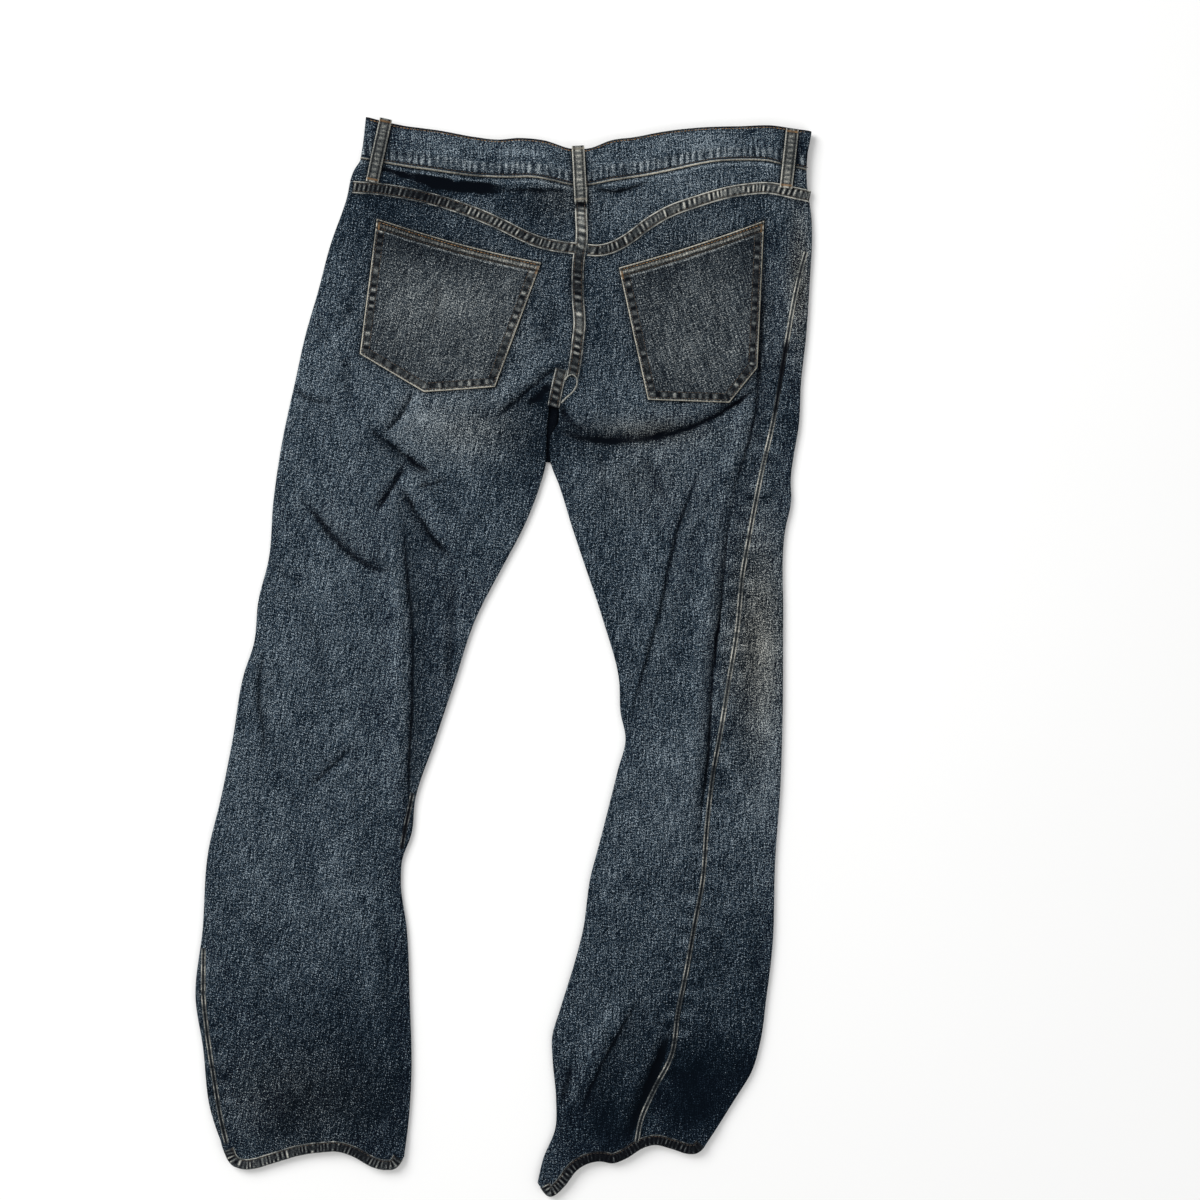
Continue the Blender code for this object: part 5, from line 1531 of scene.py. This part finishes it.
def sewn(name, stitches, thread, up=1.0):
    # many small stitches as one mesh. Each one is a capsule of that many sides
    middles, directions, halves = (np.concatenate(part) for part in zip(*stitches))
    count = 5
    angles = np.linspace(0, 2 * math.pi, count, endpoint=False)
    ring = placed(np.cos(angles), np.sin(angles))
    rings = [np.c_[np.full(count, end), ring] for end in (-0.6, 0.6)]
    unit = np.concatenate([[[-1, 0, 0]], *rings, [[1, 0, 0]]])
    faces = []
    for i in range(count):
        j = (i + 1) % count
        a, b, c, d, tip = 1 + i, 1 + j, 1 + count + i, 1 + count + j, 1 + 2 * count
        faces += [(0, b, a), (a, b, d), (a, d, c), (tip, c, d)]
    upward = np.tile([0.0, 0.0, up], (len(middles), 1))
    beside = np.cross(upward, directions)
    beside = beside / np.linalg.norm(beside, axis=1)[:, None]
    upward = np.cross(directions, beside)
    thick = stitching["thread"]
    points = (middles + upward * stitching["proud"])[:, None] + beside[:, None] * unit[:, 1:2] * thick
    points = points + directions[:, None] * unit[:, :1] * halves[:, None, None]
    points = points + upward[:, None] * unit[:, 2:] * thick * 0.8
    faces = np.array(faces)[None] + len(unit) * np.arange(len(middles))[:, None, None]
    # the mat's down runs against the frame's second axis, which turns the faces over
    piece = addPiece(name, points.reshape(-1, 3), faces.reshape(-1, 3)[:, ::-1], thread)


def heightOn(piece):
    # the height of a piece's upper face at places on the mat
    corners = np.empty(3 * len(piece.data.vertices))
    piece.data.vertices.foreach_get("co", corners)
    corners = corners.reshape(-1, 3) / mat["mm"] * [1, -1, 1] + [*mat["middle"], 0]

    def rise(across, down):
        found = []
        for place in zip(np.ravel(across), np.ravel(down)):
            distance = ((corners[:, :2] - place) ** 2).sum(axis=1)
            near = np.argpartition(distance, 4)[:4]
            found.append(corners[near, 2].max())
        return np.reshape(found, np.shape(across))

    return rise


def rowOn(line, rise):
    # stitches along a line on the mat, lifted onto a surface
    return alongRow(np.c_[line, rise(line[:, 0], line[:, 1])])


def pocketRows(side):
    # the rows of stitches of a back pocket: those along its top, and those round its other edges
    shape = pockets[side]
    top, low = np.array(shape["top"], float), np.array(shape["low"], float)
    middle = (top.mean(axis=0) + low.mean(axis=0)) / 2
    share = np.linspace(0, 1, 60)[:, None]
    along, square = heading(*top)
    corners = [top[1], *low[::-1], top[0]]
    ends = [corners[0] * 2 - corners[1], corners[-1] * 2 - corners[-2]]
    line = [ends[0], *corners, ends[1]]
    tops, others = [], []
    for inward in pockets["rowsAt"]:
        row = mixed(top[0] + along * 2.5, top[1] - along * 2.5, share)
        tops.append(row + square * (inward + 0.3 * (inward < 5) + shape["bow"] * np.sin(math.pi * share)))
        moved = []
        for before, corner, after in zip(line, corners, line[2:]):
            inwards = [heading(a, b)[1] for a, b in ((before, corner), (corner, after))]
            first, last = (normal if normal @ (middle - corner) > 0 else -normal for normal in inwards)
            moved.append(corner + (first + last) * inward / (1 + first @ last))
        for a, b in zip(moved[:-1], moved[1:]):
            count = max(int(np.hypot(*(b - a)) / 2), 2)
            others.append(mixed(a, b, np.linspace(0, 1, count)[:, None]))
    return tops, others


def loopBars(which, rise):
    # the dense bars of thread at both ends of a belt loop
    first, last = loops["back"][which]
    run, square = heading(first, last)
    beside = square * (loops["width"] / 2 - 1)
    return [bartack(end - beside, end + beside, rise) for end in (first + run * 3.0, last - run * 2.6)]


def pocketBars(side, rise):
    # a short bar down each side from a pocket's top corners
    (left, right), low = pockets[side]["top"], pockets[side]["low"]
    found = []
    for corner, below, inward in ((left, low[0], 2.6), (right, low[-1], -2.6)):
        start = np.add(corner, [inward, 3.0 + abs(inward) * 0.4])
        found.append(bartack(start, start + heading(corner, below)[0] * 7, rise))
    return found


print("making the panels")
backs = {side: backPanel(side) for side in sides}
fronts = {side: frontPanel(side) for side in sides}
yokePieces = {side: yokePiece(side) for side in sides}
waistPiece = waistband()
facings = {side: pocketFacing(side) for side in sides}
fly = flyFlap()

print("making the bands, the pockets and the loops")
sewnBands = {name: Band(*row) for name, row in bandRoutes.items()}
bandPieces = {name: band.piece(name, wornDenim) for name, band in sewnBands.items()}
crotch = crotchJoin()
pocketPieces = {side: backPocket(side) for side in sides}
backLoops = {which: backLoop(which) for which in loops["back"]}
frontLoops = {which: frontLoop(which) for which in loops["front"]}
waistButton()

print("sewing")
topStitches, sideStitches, seamStitches, hiddenStitches = [], [], [], []
for name, band in sewnBands.items():
    rows = [] if "Ridge" in name else band.look["rows"]
    (hiddenStitches if band.beneath else seamStitches).extend(alongRow(band.row(row)) for row in rows)
for side in sides:
    riseAt = heightOn(pocketPieces[side])
    tops, others = pocketRows(side)
    topStitches += [rowOn(tops[0], riseAt), *pocketBars(side, riseAt)]
    sideStitches += [rowOn(line, riseAt) for line in (tops[1], *others)]
barsOn = {which: loopBars(which, heightOn(piece)) for which, piece in backLoops.items()}
riseAt = heightOn(waistPiece)
across = np.linspace(370, 808, 220)
topStitches += [*barsOn["left"], *barsOn["right"], rowOn(placed(across, waistTop(across) + 2.2), riseAt)]
sideStitches.append(rowOn(placed(across, waistSeam(across) - 3.2), riseAt))
sewn("orangeStitches", topStitches, threadPaints["orange"])
sewn("brownStitches", sideStitches, threadPaints["brown"])
sewn("paleStitches", barsOn["middle"], threadPaints["pale"])
sewn("seamStitches", seamStitches, threadPaints["brown"])
sewn("hiddenStitches", hiddenStitches, threadPaints["brown"], -1.0)

onFloor = []
for side in sides:
    named = side.title()
    front, back = "front" + named, "back" + named
    for name, piece in ((back, backs[side]), (front, fronts[side])):
        *flat, area = panels["cut"][name]
        sewnOn = [bandPieces[band] for band in bandPieces if sewnBands[band].cloth == name]
        sewnOn += [crotch] if name == "backLeft" else []
        restsOn = onFloor if name == front else [front + "Cloth"]
        asCloth(piece, name.replace(named, "_" + side), "denim", tuple(flat), area, restsOn)
    for piece, node, slot, (*flat, area), restsOn in (
            (yokePieces[side], "yoke", "denim", yokes["cut"], [front + "Cloth"]),
            (facings[side], "front_pocket_facing", "denim", panels["cut"]["pocketFacing"], onFloor),
            (pocketPieces[side], "back_pocket", "worn_denim", pockets["cut"], [back + "Cloth"]),
            (frontLoops[side], "belt_loop_front", "worn_denim", (*loops["cut"]["front"], None), onFloor)):
        asCloth(piece, f"{node}_{side}", slot, tuple(flat), area, restsOn)
asCloth(waistPiece, "waistband", "denim", waist["cut"], None, onFloor)
asCloth(fly, "fly_flap", "denim", panels["cut"]["flyFlap"][:2], panels["cut"]["flyFlap"][2], onFloor)
for which, piece in backLoops.items():
    asCloth(piece, "belt_loop_back_" + which, "worn_denim", loops["cut"]["back"], None, ["waistbandCloth"])

studio = {
    "floor": (0.94, 0.94, 0.935),
    "mottle": 0.985,          # the floor's dimmer places
    "floorHalf": 6.0,
    "floorLevel": -0.0008,
    "sky": 0.5,
    "key": {"place": (-1.8, 1.6, 2.1), "size": 2.0, "power": 92},
    "fill": {"place": (1.8, -1.4, 2.4), "size": 2.4, "power": 22},
    "height": 2.2,            # the camera over the cloth
    "cloth": 6.0,             # how far the cloth's face is over the floor, in millimetres
    "seen": 1.2,              # metres across the picture
    "sensor": 36.0,
}


def addToScene(name, data):
    made = bpy.data.objects.new(name, data)
    bpy.context.scene.collection.objects.link(made)
    return made


def makeStage():
    # a wide pale floor, softly mottled
    paint = Paint("paleFloor", Roughness=0.9, Specular_IOR_Level=0.1)
    mottled = paint.noise(paint.place(), 0.0, (0.3, 0.3), 2.0)
    pale = np.array(studio["floor"])
    paint.finish(Base_Color=paint.mix(mottled, (*(pale * studio["mottle"]), 1), (*pale, 1)))
    mesh = bpy.data.meshes.new("floor")
    half, level = studio["floorHalf"], studio["floorLevel"]
    corners = [(x * half, y * half, level) for x, y in ((-1, -1), (1, -1), (1, 1), (-1, 1))]
    mesh.from_pydata(corners, [], [(0, 1, 2, 3)])
    mesh.materials.append(paint.material)
    addToScene("floor", mesh)

    world = bpy.data.worlds.new("softSky")
    world.use_nodes = True
    sky = world.node_tree.nodes["Background"]
    sky.inputs["Color"].default_value = (1, 1, 1, 1)
    sky.inputs["Strength"].default_value = studio["sky"]
    bpy.context.scene.world = world
    for name in ("key", "fill"):
        look = studio[name]
        lamp = bpy.data.lights.new(name + "Light", "AREA")
        lamp.size = look["size"]
        lamp.energy = look["power"]
        light = addToScene(name + "Light", lamp)
        light.location = look["place"]
        toMiddle = Vector(toFrame([*mat["view"], 0.0])) - light.location
        light.rotation_euler = toMiddle.to_track_quat("-Z", "Y").to_euler()


def makeCamera():
    # straight above the layout mat, as the photograph was taken
    lens = bpy.data.cameras.new("camera")
    lens.sensor_width = studio["sensor"]
    lens.lens = studio["sensor"] * studio["height"] / studio["seen"]
    camera = addToScene("camera", lens)
    camera.location = Vector(toFrame([*mat["view"], studio["cloth"]])) + Vector((0, 0, studio["height"]))
    bpy.context.scene.camera = camera


makeStage()
makeCamera()
bpy.context.scene.view_settings.view_transform = "Standard"
print("stage, light and camera ready")
